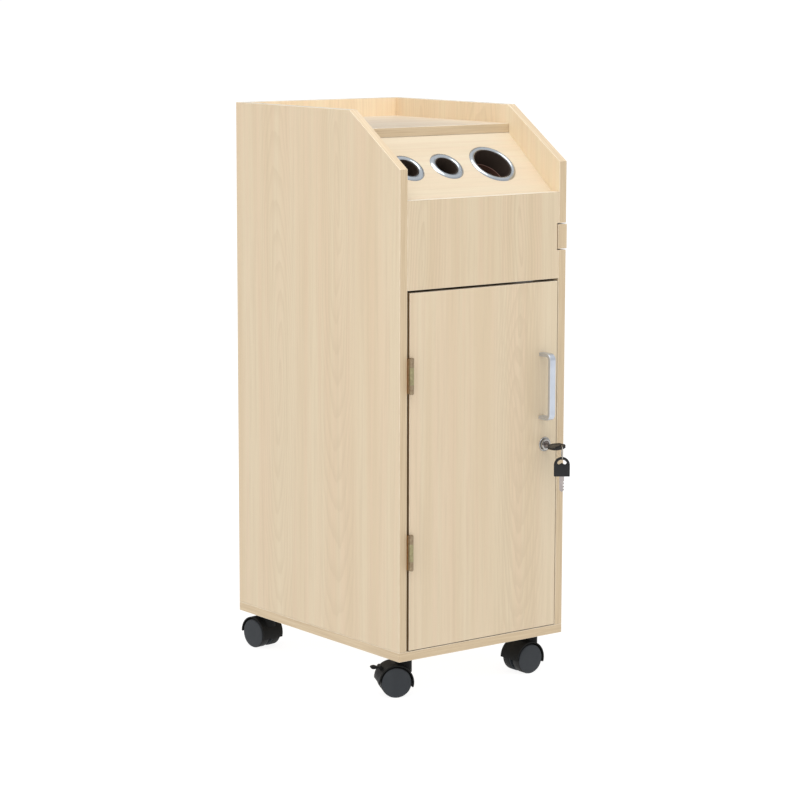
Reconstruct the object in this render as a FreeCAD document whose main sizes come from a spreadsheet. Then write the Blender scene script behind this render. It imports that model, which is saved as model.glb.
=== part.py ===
import FreeCAD, Part
import os
import re
import Sketcher

# Rolling tool cabinet, a tall narrow box of 15 mm boards on four twin-wheel casters.
# Millimetres. X is across the front (+X is the lock side), +Y points to the back, +Z up.
# The origin lies on the floor, under the middle of the cabinet. Heights called
# "above the underside" are counted from the underside of the base board.

# ---------------------------------------------------------------- driving dimensions

SIZES = [
    ("cab_width", 340, "width over the side panels"),
    ("cab_depth", 454, "depth over the base board"),
    ("cab_height", 871, "underside of the base to the top of the sides"),
    ("board", 15, "board thickness"),
    ("edge_round", 0.7, "rounding of every board edge"),
    ("front_drop", 87, "top of a side's upright front edge, below the top"),
    ("slope_depth", 133, "where the sloping edge of a side reaches the top, behind the front"),
    ("shelf_drop", 31, "top face of the top shelf, below the top"),
    ("shelf_setback", 130, "front edge of the top shelf, behind the front"),
    ("fascia_drop", 136, "top edge of the fixed front board, below the top"),
    ("fascia_tall", 141, "height of the fixed front board"),
    ("holder_drop", 3, "lower edge of the slanted board, below the fascia's top"),
    ("inner_height", 235, "underside of the loose inner shelf, above the base board"),
    ("inner_setback", 35, "front edge of the inner shelf, behind the front"),
    ("inner_play", 1, "gap beside and behind the inner shelf"),
    ("peg_radius", 2.5, "shelf peg radius"),
    ("peg_length", 16, "shelf peg length"),
    ("peg_depth", 8, "depth of a peg in its side panel"),
    ("peg_inset", 50, "peg to the shelf's front or back edge"),
    ("fit_gap", 0.1, "radial gap of a screw, peg or pin in its hole"),
    ("cutter", 2, "length by which a cutting tool passes the face it cuts"),
    # tool holders in the slanted board
    ("holder_line", 73, "holder axes, down the slope from the shelf's front edge"),
    ("big_x", 73.5, "large holder, from the cabinet's middle"),
    ("mid_x", -21, "middle holder, from the cabinet's middle"),
    ("far_x", -100.5, "left holder, from the cabinet's middle"),
    ("big_lip", 7, "large ring, width of its flange"),
    ("big_bore", 33, "large ring, inner radius"),
    ("small_lip", 8.7, "small ring, width of its flange"),
    ("small_bore", 19.8, "small ring, inner radius"),
    ("flange_thick", 2.4, "ring flange thickness"),
    ("flange_round", 1.9, "rounding of the ring flange's rims"),
    ("sleeve_wall", 1.5, "wall of the ring's sleeve and of the cup's rim"),
    ("sleeve_depth", 6, "sleeve depth below the board's face"),
    ("cup_wall", 1.4, "cup wall"),
    ("cup_gap", 8.8, "large cup's lowest point to the top of the tray"),
    # door
    ("door_left_gap", 4.5, "gap at the hinge side"),
    ("door_right_gap", 1.5, "gap at the lock side"),
    ("door_top_gap", 4, "gap under the fascia"),
    ("door_bottom_gap", 1.2, "gap over the base board"),
    # hinges
    ("hinge_drop", 130, "middle of the upper hinge, below the door's top"),
    ("hinge_rise", 160.8, "middle of the lower hinge, above the door's bottom"),
    ("hinge_tall", 56, "hinge height"),
    ("leaf_thick", 1.2, "hinge leaf thickness"),
    ("leaf_depth", 14, "leaf depth behind the front"),
    ("knuckle_radius", 3.8, "hinge barrel radius"),
    ("knuckle_gap", 0.3, "gap between knuckles, and round them"),
    ("pin_radius", 1.6, "hinge pin radius"),
    ("pin_cap", 1.2, "height of the pin's end caps"),
    ("pin_cap_radius", 2.9, "radius of the pin's end caps"),
    ("pin_proud", 6, "hinge axis in front of the door's face"),
    ("hinge_play", 0.2, "barrel to the plane of the side's inner face"),
    ("wood_screw_radius", 1.5, "shank radius of the hinge screws"),
    ("wood_screw_length", 12, "length of the hinge screws"),
    ("wood_head_radius", 3, "head radius of the hinge screws"),
    ("wood_screw_pitch", 32, "spacing of the two screws in a leaf"),
    # handle
    ("handle_edge", 32, "handle's middle to the door's lock-side edge"),
    ("handle_drop", 170, "handle's middle, below the door's top"),
    ("handle_tall", 110, "handle length over its legs"),
    ("handle_reach", 28, "handle's reach in front of the door"),
    ("handle_width", 12, "width of the handle's bar"),
    ("handle_thick", 6, "thickness of the handle's bar"),
    ("handle_bend", 11, "outer radius of the handle's bends"),
    ("handle_round", 1.2, "rounding along the handle's bar"),
    ("bolt_radius", 2, "handle screw radius"),
    ("bolt_bite", 8, "depth of a handle screw in the handle's foot"),
    ("bolt_head_radius", 4, "handle screw head radius"),
    ("bolt_head_thick", 2.4, "handle screw head thickness"),
    # lock
    ("lock_edge", 25, "lock's middle to the door's lock-side edge"),
    ("lock_drop", 267.5, "lock's middle, below the door's top"),
    ("rosette_radius", 12, "lock flange radius"),
    ("rosette_thick", 2, "lock flange thickness"),
    ("collar_radius", 9.5, "raised collar radius"),
    ("collar_thick", 3, "raised collar height"),
    ("barrel_radius", 8.8, "lock barrel radius behind the flange"),
    ("barrel_tail", 8, "lock barrel's length behind the door"),
    ("plug_radius", 6.2, "lock plug radius"),
    ("nut_radius", 13, "lock nut, corner radius"),
    ("nut_thick", 4, "lock nut thickness"),
    ("cam_thick", 2, "lock cam thickness"),
    ("cam_width", 12, "lock cam width"),
    ("cam_reach", 24, "lock cam's tip from the lock's middle"),
    ("cam_screw_radius", 4, "head radius of the cam's screw"),
    ("cam_screw_thick", 2.5, "head thickness of the cam's screw"),
    ("strike_thick", 1.5, "strike bracket thickness"),
    ("strike_lap", 13, "strike bracket's reach over the cam's tip"),
    ("strike_tall", 26, "strike bracket height"),
    ("strike_foot", 20, "strike bracket's foot along the side panel"),
    ("turn_gap", 0.6, "gap in front of and behind the turning cam"),
    # keys
    ("key_tilt", 10, "tilt of the key head out of the level, at rest"),
    ("head_width", 26, "key head width"),
    ("head_straight", 19, "straight part of the key head"),
    ("head_thick", 3.2, "key head thickness"),
    ("rim_wide", 4, "width of the rim round the opening in the key head"),
    ("head_sill", 2, "flat side of the opening, from the middle of the head's arc"),
    ("blade_width", 7.6, "key blade width"),
    ("blade_thick", 2, "key blade thickness"),
    ("blade_length", 26, "key blade length outside its head"),
    ("blade_root", 9, "key blade's length inside its head"),
    ("blade_gap", 0.15, "gap round the blade in its slot"),
    ("blade_show", 9.5, "blade seen between the plug and the key head"),
    ("ring_radius", 12, "key ring, middle radius"),
    ("ring_wire", 0.7, "key ring, wire radius"),
    ("ring_turn", -37, "key ring's plane, turned from the fore-and-aft plane"),
    ("ring_gap", 0.35, "play of the ring on the key heads"),
    # side tray
    ("notch_rise", 31, "bottom of the notch in the right side, above the partition"),
    ("notch_tall", 44, "height of the notch"),
    ("notch_deep", 255, "depth of the notch behind the front"),
    ("lip_gap", 2, "gap round the tray's front in the notch"),
    ("lip_thick", 18.5, "thickness of the tray's front"),
    ("lip_lap", 1.5, "tray's front, inwards of the side's inner face"),
    ("fascia_notch", 4, "notch for the tray's front in the end of the fixed front board"),
    ("tray_back", 15, "tray's closed end to the left side panel"),
    ("tray_board", 10, "thickness of the tray's sides and end"),
    ("tray_floor_thick", 5, "thickness of the tray's floor"),
    ("tray_lift", 3, "tray's underside above the bottom of the lip"),
    ("tray_drop", 4, "tray's sides below the top of the lip"),
    ("tray_play", 2, "gap beside the tray, front and back"),
    ("slide_gap", 0.5, "gap between the tray and its runners"),
    ("runner_wide", 18, "runner width under the tray"),
    ("guide_thick", 12, "thickness of the rear runner's guide"),
    ("guide_tall", 18, "height of the rear runner's guide above the runner"),
    # magnetic catch
    ("catch_edge", 60, "catch's middle to the right side panel's inner face"),
    ("catch_wide", 40, "catch width"),
    ("catch_tall", 13, "catch height"),
    ("catch_deep", 16, "catch depth"),
    ("catch_gap", 0.4, "catch to its keeper plate"),
    ("keeper_thick", 1.2, "keeper plate thickness"),
    ("keeper_wide", 34, "keeper plate width"),
    ("keeper_tall", 11, "keeper plate height"),
    # casters
    ("caster_in_x", 38, "caster axis from the cabinet's side"),
    ("caster_in_y", 34, "caster axis from the cabinet's front or back"),
    ("turn_front_left", 154, "front left caster, direction in which its wheels trail"),
    ("turn_front_right", 180, "front right caster, direction in which its wheels trail"),
    ("turn_back_left", 97, "back left caster, direction in which its wheels trail"),
    ("turn_back_right", 25, "back right caster, direction in which its wheels trail"),
    ("wheel_radius", 25, "caster wheel radius"),
    ("wheel_wide", 18.6, "width of one wheel"),
    ("wheel_round", 3.2, "rounding of a wheel's rims"),
    ("dish_radius", 19.5, "outer radius of the groove in a wheel's face"),
    ("dish_wide", 1.4, "width of the groove in a wheel's face"),
    ("dish_deep", 0.8, "depth of the groove in a wheel's face"),
    ("web_thick", 5, "thickness of the caster's middle web"),
    ("web_gap", 0.8, "gap between the web and a wheel"),
    ("trail", 18, "axle behind the swivel axis"),
    ("axle_radius", 3, "axle radius"),
    ("axle_boss", 8, "radius of the web round the axle"),
    ("hood_gap", 1.6, "gap between the wheels and the hood"),
    ("hood_wall", 2.2, "hood wall"),
    ("hood_low", 8, "hood's leading edge below the axle"),
    ("boss_radius", 11, "swivel boss radius"),
    ("boss_rise", 13, "bottom of the swivel boss above the axle"),
    ("head_room", 8.8, "top of the hood to the mounting plate"),
    ("stem_radius", 4, "swivel stem radius"),
    ("stem_length", 15, "swivel stem length below its plate"),
    ("swivel_gap", 0.6, "gap between the plate and the boss"),
    ("plate_side", 40, "side of the square mounting plate"),
    ("plate_thick", 2.4, "mounting plate thickness"),
    ("plate_corner", 4, "rounding of the plate's corners"),
    ("plate_pitch", 29, "spacing of the plate's screws"),
    ("plate_screw_radius", 2, "plate screw radius"),
    ("plate_screw_length", 12, "plate screw length in the base board"),
    ("plate_head_radius", 3.6, "plate screw head radius"),
    ("plate_head_thick", 1.8, "plate screw head thickness"),
    ("pedal_off", 3.7, "brake pedal pivot outside the hood"),
    ("pedal_angle", 44, "brake pedal pivot, turned up from the level round the axle"),
    ("pedal_barrel", 3, "pedal barrel radius"),
    ("pedal_pin", 1.5, "pedal pin radius"),
    ("pedal_half", 5.5, "half the pedal's width"),
    ("pedal_reach", 13, "pedal's tip from its pivot"),
    ("pedal_thick", 3.4, "pedal tongue thickness"),
    ("pedal_bead", 2.6, "radius of the pedal's thicker tip"),
    ("lug_thick", 2.6, "thickness of the lugs that hold the pedal"),
    ("lug_gap", 0.4, "gap between the pedal and its lugs"),
]

doc = FreeCAD.newDocument("rolling_tool_cabinet")
sheet = doc.addObject("Spreadsheet::Sheet", "Sizes")
for row, (alias, value, note) in enumerate(SIZES, start=1):
    sheet.set(f"A{row}", note)
    sheet.set(f"B{row}", str(value))
    sheet.setAlias(f"B{row}", alias)
doc.recompute()

ALIASES = {alias for alias, value, note in SIZES}
WORD = re.compile(r"[A-Za-z_][A-Za-z_0-9]*")

# Places and lengths that several pieces share, worked out from the sizes.
PLACES = {
    "base_low": "2 * wheel_radius + hood_gap + hood_wall + head_room + plate_thick",
    "floor_top": "base_low + board",
    "top": "base_low + cab_height",
    "shelf_top": "top - shelf_drop",
    "shelf_under": "shelf_top - board",
    "fascia_top": "top - fascia_drop",
    "fascia_low": "fascia_top - fascia_tall",
    "side_out": "cab_width / 2",
    "side_in": "cab_width / 2 - board",
    "inner_width": "cab_width - 2 * board",
    "front": "-cab_depth / 2",
    "shelf_edge": "front + shelf_setback",
    "door_back": "front + board",
    "back_out": "cab_depth / 2",
    "back_in": "cab_depth / 2 - board",
    "door_left": "door_left_gap - side_in",
    "door_right": "side_in - door_right_gap",
    "door_low": "floor_top + door_bottom_gap",
    "door_high": "fascia_low - door_top_gap",
    "leaf_line": "front + board / 2",
    "screw_bite": "wood_screw_length - leaf_thick",
    "hinge_x": "knuckle_radius + hinge_play - side_in",
    "hinge_y": "front - pin_proud",
    "upper_hinge": "door_high - hinge_drop",
    "lower_hinge": "door_low + hinge_rise",
    "lock_x": "door_right - lock_edge",
    "lock_z": "door_high - lock_drop",
    "handle_x": "door_right - handle_edge",
    "handle_z": "door_high - handle_drop",
    "peg_front": "front + inner_setback + peg_inset",
    "peg_rear": "back_in - inner_play - peg_inset",
    "inner_low": "floor_top + inner_height",
    "peg_level": "inner_low - peg_radius",
    "slope_run": "shelf_setback - board",
    "slope_rise": "shelf_under - fascia_top + holder_drop",
    "slope_long": "sqrt(slope_run ^ 2 + slope_rise ^ 2)",
    "slope_angle": "atan(slope_rise / slope_run)",
    "notch_low": "fascia_low + board + notch_rise",
    "notch_top": "notch_low + notch_tall",
    "lip_low": "notch_low + lip_gap",
    "lip_tall": "notch_tall - 2 * lip_gap",
    "tray_low": "lip_low + tray_lift",
    "tray_tall": "lip_tall - tray_lift - tray_drop",
    "tray_left": "tray_back - side_in",
    "lip_x": "side_in - lip_lap",
    "tray_front": "door_back + tray_play",
    "tray_rear": "front + notch_deep - lip_gap - tray_play",
    "cup_mouth": "shelf_under - holder_line * sin(slope_angle)",
    "cup_drop": "cup_mouth - tray_low - tray_tall - cup_gap",
    "cup_depth": "(cup_drop - big_bore * sin(slope_angle)) / cos(slope_angle)",
    "lock_face": "front - rosette_thick - collar_thick",
    "cam_front": "door_back + barrel_tail + turn_gap",
    "head_slot": "head_width / 2 - rim_wide",
    "head_y": "lock_face - blade_show",
    "rim_y": "head_y - head_straight - (head_width / 2 + head_slot) / 2",
    "rim_reach": "sqrt(rim_wide ^ 2 + head_thick ^ 2) / 2",
    "ring_z": "lock_z + rim_reach + ring_gap - (ring_radius - ring_wire)",
    "spare_arc_z": "ring_z - ring_radius + ring_wire + ring_gap - head_slot",
    "caster_x": "side_out - caster_in_x",
    "caster_y": "back_out - caster_in_y",
    "plate_low": "base_low - plate_thick",
    "boss_low": "wheel_radius + boss_rise",
    "boss_top": "plate_low - swivel_gap",
    "boss_tall": "boss_top - boss_low",
    "hood_in": "wheel_radius + hood_gap",
    "hood_out": "wheel_radius + hood_gap + hood_wall",
    "hood_mid": "hood_out - hood_wall / 2",
    "half_wide": "web_thick / 2 + web_gap + wheel_wide",
    "full_wide": "2 * half_wide",
    "pedal_x": "trail + (hood_out + pedal_off) * cos(pedal_angle)",
    "pedal_z": "wheel_radius + (hood_out + pedal_off) * sin(pedal_angle)",
}

nodes = {}
serial = {"next": 0}


# ---------------------------------------------------------------- helpers

def with_sheet(text):
    """Write places out in full, and turn the sheet's names into references to its cells."""
    def swap(word):
        name = word.group()
        if name in PLACES:
            return "(" + with_sheet(PLACES[name]) + ")"
        return "Sizes." + name if name in ALIASES else name

    return WORD.sub(swap, str(text))


def size(alias):
    return float(sheet.get(alias))


def bind(thing, name, text):
    thing.setExpression(name, with_sheet(text))


def new(kind):
    serial["next"] += 1
    return doc.addObject(kind, f"{kind.split('::')[1]}_{serial['next']:03d}")


def place(thing, x=0, y=0, z=0, axis=(0, 0, 1), angle=0):
    """Bind a thing's place to the sheet, with one turn about an axis."""
    thing.Placement = FreeCAD.Placement(FreeCAD.Vector(), FreeCAD.Rotation(FreeCAD.Vector(*axis), 1))
    for letter, text in zip("xyz", (x, y, z)):
        bind(thing, f"Placement.Base.{letter}", text)
    bind(thing, "Placement.Rotation.Angle", angle)
    return thing


def box(x, y, z, long, deep, tall):
    """A block from its lowest corner and its three lengths."""
    block = new("Part::Box")
    bind(block, "Length", long)
    bind(block, "Width", deep)
    bind(block, "Height", tall)
    return place(block, x, y, z)


def rod(radius, length, x=0, y=0, z=0, along="Z"):
    """A cylinder that starts at a point and runs along +X, +Y or +Z."""
    cylinder = new("Part::Cylinder")
    bind(cylinder, "Radius", radius)
    bind(cylinder, "Height", length)
    turns = {"Z": ((0, 0, 1), 0), "X": ((0, 1, 0), 90), "Y": ((1, 0, 0), -90)}
    axis, angle = turns[along]
    return place(cylinder, x, y, z, axis, angle)


def fuse(*pieces):
    joined = new("Part::MultiFuse")
    joined.Shapes = list(pieces)
    joined.Refine = True
    return joined


def common(first, second):
    shared = new("Part::MultiCommon")
    shared.Shapes = [first, second]
    return shared


def group(*pieces):
    """Separate solids kept side by side."""
    kept = new("Part::Compound")
    kept.Links = list(pieces)
    return kept


def cut(base, *tools):
    """A base less its tools."""
    carved = new("Part::Cut")
    carved.Base = base
    carved.Tool = tools[0] if len(tools) == 1 else group(*tools)
    carved.Refine = True
    return carved


def round_edges(base, radius, wanted):
    """Round the edges of a base that the test picks."""
    doc.recompute()
    edges = enumerate(base.Shape.Edges, start=1)
    picked = [(number, radius, radius) for number, edge in edges if wanted(edge)]
    rounded = new("Part::Fillet")
    rounded.Base = base
    rounded.Edges = picked
    return rounded


def node(label, thing):
    """Give a finished sub-part its name."""
    thing.Label = label
    nodes[label] = thing
    return thing


def soft_box(x, y, z, long, deep, tall):
    """A board: a block with all its edges slightly rounded."""
    return round_edges(box(x, y, z, long, deep, tall), size("edge_round"), lambda edge: True)


def origin_plane(body, role):
    return next(part for part in body.Origin.OriginFeatures if part.Role == role)


def outline(body, role, corners):
    """A closed sketch of straight lines through corners given in the sheet's names."""
    sketch = body.newObject("Sketcher::SketchObject", "Outline")
    sketch.AttachmentSupport = [(origin_plane(body, role), "")]
    sketch.MapMode = "FlatFace"
    spots = [FreeCAD.Vector(evaluate(across), evaluate(up), 0) for across, up in corners]
    count = len(spots)
    for number in range(count):
        line = Part.LineSegment(spots[number], spots[(number + 1) % count])
        sketch.addGeometry(line, False)
    for number in range(count):
        sketch.addConstraint(Sketcher.Constraint("Coincident", number, 2, (number + 1) % count, 1))
    for number, (across, up) in enumerate(corners):
        for kind, text, value in (("DistanceX", across, spots[number].x), ("DistanceY", up, spots[number].y)):
            index = sketch.addConstraint(Sketcher.Constraint(kind, -1, 1, number, 1, value))
            bind(sketch, f"Constraints[{index}]", text)
    return sketch


def evaluate(text):
    """The number that a text in the sheet's names stands for."""
    value = sheet.evalExpression(with_sheet(text))
    return float(getattr(value, "Value", value))


def sawn(role, corners, thick):
    """A board cut to an outline, as a body with one pad and rounded edges."""
    body = new("PartDesign::Body")
    profile = outline(body, role, corners)
    pad = body.newObject("PartDesign::Pad", "Pad")
    pad.Profile = profile
    bind(pad, "Length", thick)
    doc.recompute()
    fillet = body.newObject("PartDesign::Fillet", "Fillet")
    fillet.Base = (pad, [f"Edge{number}" for number in range(1, len(pad.Shape.Edges) + 1)])
    bind(fillet, "Radius", "edge_round")
    body.Tip = fillet
    return body


def turned(corners):
    """A round piece: a half outline in the XZ plane, spun about Z."""
    body = new("PartDesign::Body")
    profile = outline(body, "XZ_Plane", corners)
    spin = body.newObject("PartDesign::Revolution", "Spin")
    spin.Profile = profile
    spin.ReferenceAxis = (profile, ["V_Axis"])
    spin.Angle = 360
    body.Tip = spin
    return body


def is_circle(edge, radius, level=None, along="z"):
    """True for a circular edge of this radius, at this level if one is given."""
    if edge.Curve.TypeId != "Part::GeomCircle" or abs(edge.Curve.Radius - radius) > 0.01:
        return False
    return level is None or abs(getattr(edge.Curve.Center, along) - level) < 0.01


# ---------------------------------------------------------------- cabinet boards

HINGES = (("upper", "upper_hinge"), ("lower", "lower_hinge"))


LEAF_SCREWS = [f"{level} + {side} * wood_screw_pitch / 2" for name, level in HINGES for side in (-1, 1)]


PEG_SPOTS = ("peg_front", "peg_rear")


def side_corners(notched):
    """A side's outline: upright front edge, then a slope up to the level top."""
    corners = [
        ("front", "floor_top"),
        ("back_out", "floor_top"),
        ("back_out", "top"),
        ("front + slope_depth", "top"),
        ("front", "top - front_drop"),
    ]
    if notched:
        corners += [
            ("front", "notch_top"),
            ("front + notch_deep", "notch_top"),
            ("front + notch_deep", "notch_low"),
            ("front", "notch_low"),
        ]
    return corners


def make_sides():
    left = sawn("YZ_Plane", side_corners(False), "board")
    place(left, "-side_out")
    right = sawn("YZ_Plane", side_corners(True), "board")
    place(right, "side_in")
    peg_hole = "peg_radius + fit_gap"
    left_holes = [rod(peg_hole, "peg_depth", "-side_in - peg_depth", y, "peg_level", "X") for y in PEG_SPOTS]
    right_holes = [rod(peg_hole, "peg_depth", "side_in", y, "peg_level", "X") for y in PEG_SPOTS]
    for level in LEAF_SCREWS:
        start = "-side_in - screw_bite"
        left_holes.append(rod("wood_screw_radius + fit_gap", "screw_bite", start, "leaf_line", level, "X"))
    node("left_side_panel", cut(left, *left_holes))
    node("right_side_panel", cut(right, *right_holes))


# Name, place, the direction in which the wheels trail, and whether it has a brake.
CASTERS = (
    ("front_left", "-caster_x", "-caster_y", "turn_front_left", True),
    ("front_right", "caster_x", "-caster_y", "turn_front_right", False),
    ("back_left", "-caster_x", "caster_y", "turn_back_left", False),
    ("back_right", "caster_x", "caster_y", "turn_back_right", True),
)


def screw_spots(x, y):
    """The places of the four screws of a plate centred at x, y."""
    corners = ((-1, -1), (-1, 1), (1, -1), (1, 1))
    return [(f"{x} + {side} * plate_pitch / 2", f"{y} + {end} * plate_pitch / 2") for side, end in corners]


def make_boards():
    base = soft_box("-side_out", "front", "base_low", "cab_width", "cab_depth", "board")
    holes = []
    radius = "plate_screw_radius + fit_gap"
    for name, x, y, turn, braked in CASTERS:
        for hole_x, hole_y in screw_spots(x, y):
            holes.append(rod(radius, "plate_screw_length", hole_x, hole_y, "base_low"))
    node("base_panel", cut(base, *holes))
    back = soft_box("-side_in", "back_in", "floor_top", "inner_width", "board", "cab_height - board")
    node("back_panel", back)
    deep = "back_in - shelf_edge"
    node("top_shelf", soft_box("-side_in", "shelf_edge", "shelf_under", "inner_width", deep, "board"))
    fascia = soft_box("-side_in", "front", "fascia_low", "inner_width", "board", "fascia_tall")
    notch_wide = "fascia_notch + cutter"
    through = "board + 2 * cutter"
    notch = box("side_in - fascia_notch", "front - cutter", "notch_low", notch_wide, through, "notch_tall")
    node("front_fascia", cut(fascia, notch))
    deep = "back_in - door_back"
    node("partition", soft_box("-side_in", "door_back", "fascia_low", "inner_width", deep, "board"))
    inner = soft_box(
        "-side_in + inner_play",
        "front + inner_setback",
        "inner_low",
        "inner_width - 2 * inner_play",
        "cab_depth - board - inner_setback - inner_play",
        "board",
    )
    node("inner_shelf", inner)
    pegs = []
    for y in PEG_SPOTS:
        pegs.append(rod("peg_radius", "peg_length", "-side_in - peg_depth", y, "peg_level", "X"))
        pegs.append(rod("peg_radius", "peg_length", "side_in + peg_depth - peg_length", y, "peg_level", "X"))
    node("shelf_pegs", group(*pegs))


# ---------------------------------------------------------------- slanted board and its holders

HOLDERS = (
    ("large", "big_x", "big_lip", "big_bore"),
    ("middle", "mid_x", "small_lip", "small_bore"),
    ("left", "far_x", "small_lip", "small_bore"),
)


def on_slope(thing, across=0, down=0):
    """Place a piece, made upright round Z, on the slanted board's face."""
    y = f"shelf_edge - ({down}) * cos(slope_angle)"
    z = f"shelf_under - ({down}) * sin(slope_angle)"
    return place(thing, across, y, z, (1, 0, 0), "slope_angle")


def make_holders():
    panel = soft_box("-side_in", "-slope_long", "-board", "inner_width", "slope_long", "board")
    holes = []
    for name, across, lip, bore in HOLDERS:
        hole_radius = f"{bore} + sleeve_wall + fit_gap"
        holes.append(rod(hole_radius, "board + 2 * cutter", across, "-holder_line", "-board - cutter"))
    node("holder_panel", on_slope(cut(panel, *holes)))
    for name, across, lip, bore in HOLDERS:
        ring = turned([
            (bore, "-sleeve_depth"),
            (f"{bore} + sleeve_wall", "-sleeve_depth"),
            (f"{bore} + sleeve_wall", 0),
            (f"{bore} + {lip}", 0),
            (f"{bore} + {lip}", "flange_thick"),
            (bore, "flange_thick"),
        ])
        top = size("flange_thick")
        rims = (size(bore) + size(lip), size(bore))
        domed = round_edges(
            ring, size("flange_round"), lambda edge: any(is_circle(edge, rim, top) for rim in rims)
        )
        node(f"holder_ring_{name}", on_slope(domed, across, "holder_line"))
        inside = f"{bore} - cup_wall"
        cup = turned([
            (0, "-cup_depth"),
            (bore, "-cup_depth"),
            (bore, "-sleeve_depth - 2 * sleeve_wall"),
            (f"{bore} + sleeve_wall", "-sleeve_depth - sleeve_wall"),
            (f"{bore} + sleeve_wall", "-sleeve_depth"),
            (inside, "-sleeve_depth"),
            (inside, "-cup_depth + cup_wall"),
            (0, "-cup_depth + cup_wall"),
        ])
        node(f"holder_cup_{name}", on_slope(cup, across, "holder_line"))


# ---------------------------------------------------------------- door, hinges, handle

BOLTS = [f"handle_z + {side} * (handle_tall - handle_thick) / 2" for side in (-1, 1)]


def make_door():
    wide = "door_right - door_left"
    door = soft_box("door_left", "front", "door_low", wide, "board", "door_high - door_low")
    through = "board + 2 * cutter"
    holes = [rod("barrel_radius + fit_gap", through, "lock_x", "front - cutter", "lock_z", "Y")]
    for level in BOLTS:
        holes.append(rod("bolt_radius + fit_gap", through, "handle_x", "front - cutter", level, "Y"))
    for level in LEAF_SCREWS:
        holes.append(rod("wood_screw_radius + fit_gap", "screw_bite", "door_left", "leaf_line", level, "X"))
    node("door", cut(door, *holes))


def leaf(level, plate_x, outer):
    """One hinge leaf: its plate and its knuckles, the outer two or the middle one."""
    low = f"{level} - hinge_tall / 2"
    plate = box(plate_x, "hinge_y", low, "leaf_thick", "pin_proud + leaf_depth", "hinge_tall")
    end_tall = "hinge_tall / 4 - knuckle_gap / 2"
    ends = ((low, end_tall), (f"{level} + hinge_tall / 4 + knuckle_gap / 2", end_tall))
    middle = ((f"{level} - hinge_tall / 4 + knuckle_gap / 2", "hinge_tall / 2 - knuckle_gap"),)
    own, other = (ends, middle) if outer else (middle, ends)
    barrels = [rod("knuckle_radius", tall, "hinge_x", "hinge_y", start) for start, tall in own]
    relief_radius = "knuckle_radius + knuckle_gap"
    reliefs = []
    for start, tall in other:
        length = f"{tall} + 2 * knuckle_gap"
        reliefs.append(rod(relief_radius, length, "hinge_x", "hinge_y", f"{start} - knuckle_gap"))
    bore = rod("pin_radius + fit_gap / 2", "hinge_tall + 2 * cutter", "hinge_x", "hinge_y", f"{low} - cutter")
    holes = []
    start = f"{plate_x} - cutter"
    for side in (-1, 1):
        height = f"{level} + {side} * wood_screw_pitch / 2"
        length = "leaf_thick + 2 * cutter"
        holes.append(rod("wood_head_radius + fit_gap", length, start, "leaf_line", height, "X"))
    return cut(fuse(cut(plate, *reliefs), *barrels), bore, *holes)


def leaf_screw(tip_x, head_x, level):
    """One hinge screw: its shank in the wood and its head in the leaf."""
    shank = rod("wood_screw_radius", "screw_bite", tip_x, "leaf_line", level, "X")
    head = rod("wood_head_radius", "leaf_thick - 2 * fit_gap", head_x, "leaf_line", level, "X")
    return fuse(shank, head)


def make_hinges():
    pins = []
    for name, level in HINGES:
        node(f"hinge_frame_leaf_{name}", leaf(level, "-side_in", True))
        node(f"hinge_door_leaf_{name}", leaf(level, "door_left - leaf_thick", False))
        low = f"{level} - hinge_tall / 2"
        shaft = rod("pin_radius", "hinge_tall + pin_cap", "hinge_x", "hinge_y", f"{low} - pin_cap / 2")
        foot = rod("pin_cap_radius", "pin_cap", "hinge_x", "hinge_y", f"{low} - pin_cap")
        cap = rod("pin_cap_radius", "pin_cap", "hinge_x", "hinge_y", f"{low} + hinge_tall")
        pins.append(fuse(shaft, foot, cap))
    frame_screws = []
    door_screws = []
    for level in LEAF_SCREWS:
        frame_screws.append(leaf_screw("fit_gap - side_in - screw_bite", "fit_gap - side_in", level))
        door_screws.append(leaf_screw("door_left - fit_gap", "door_left - leaf_thick + fit_gap", level))
    node("hinge_pins", group(*pins))
    node("hinge_frame_screws", group(*frame_screws))
    node("hinge_door_screws", group(*door_screws))


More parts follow.
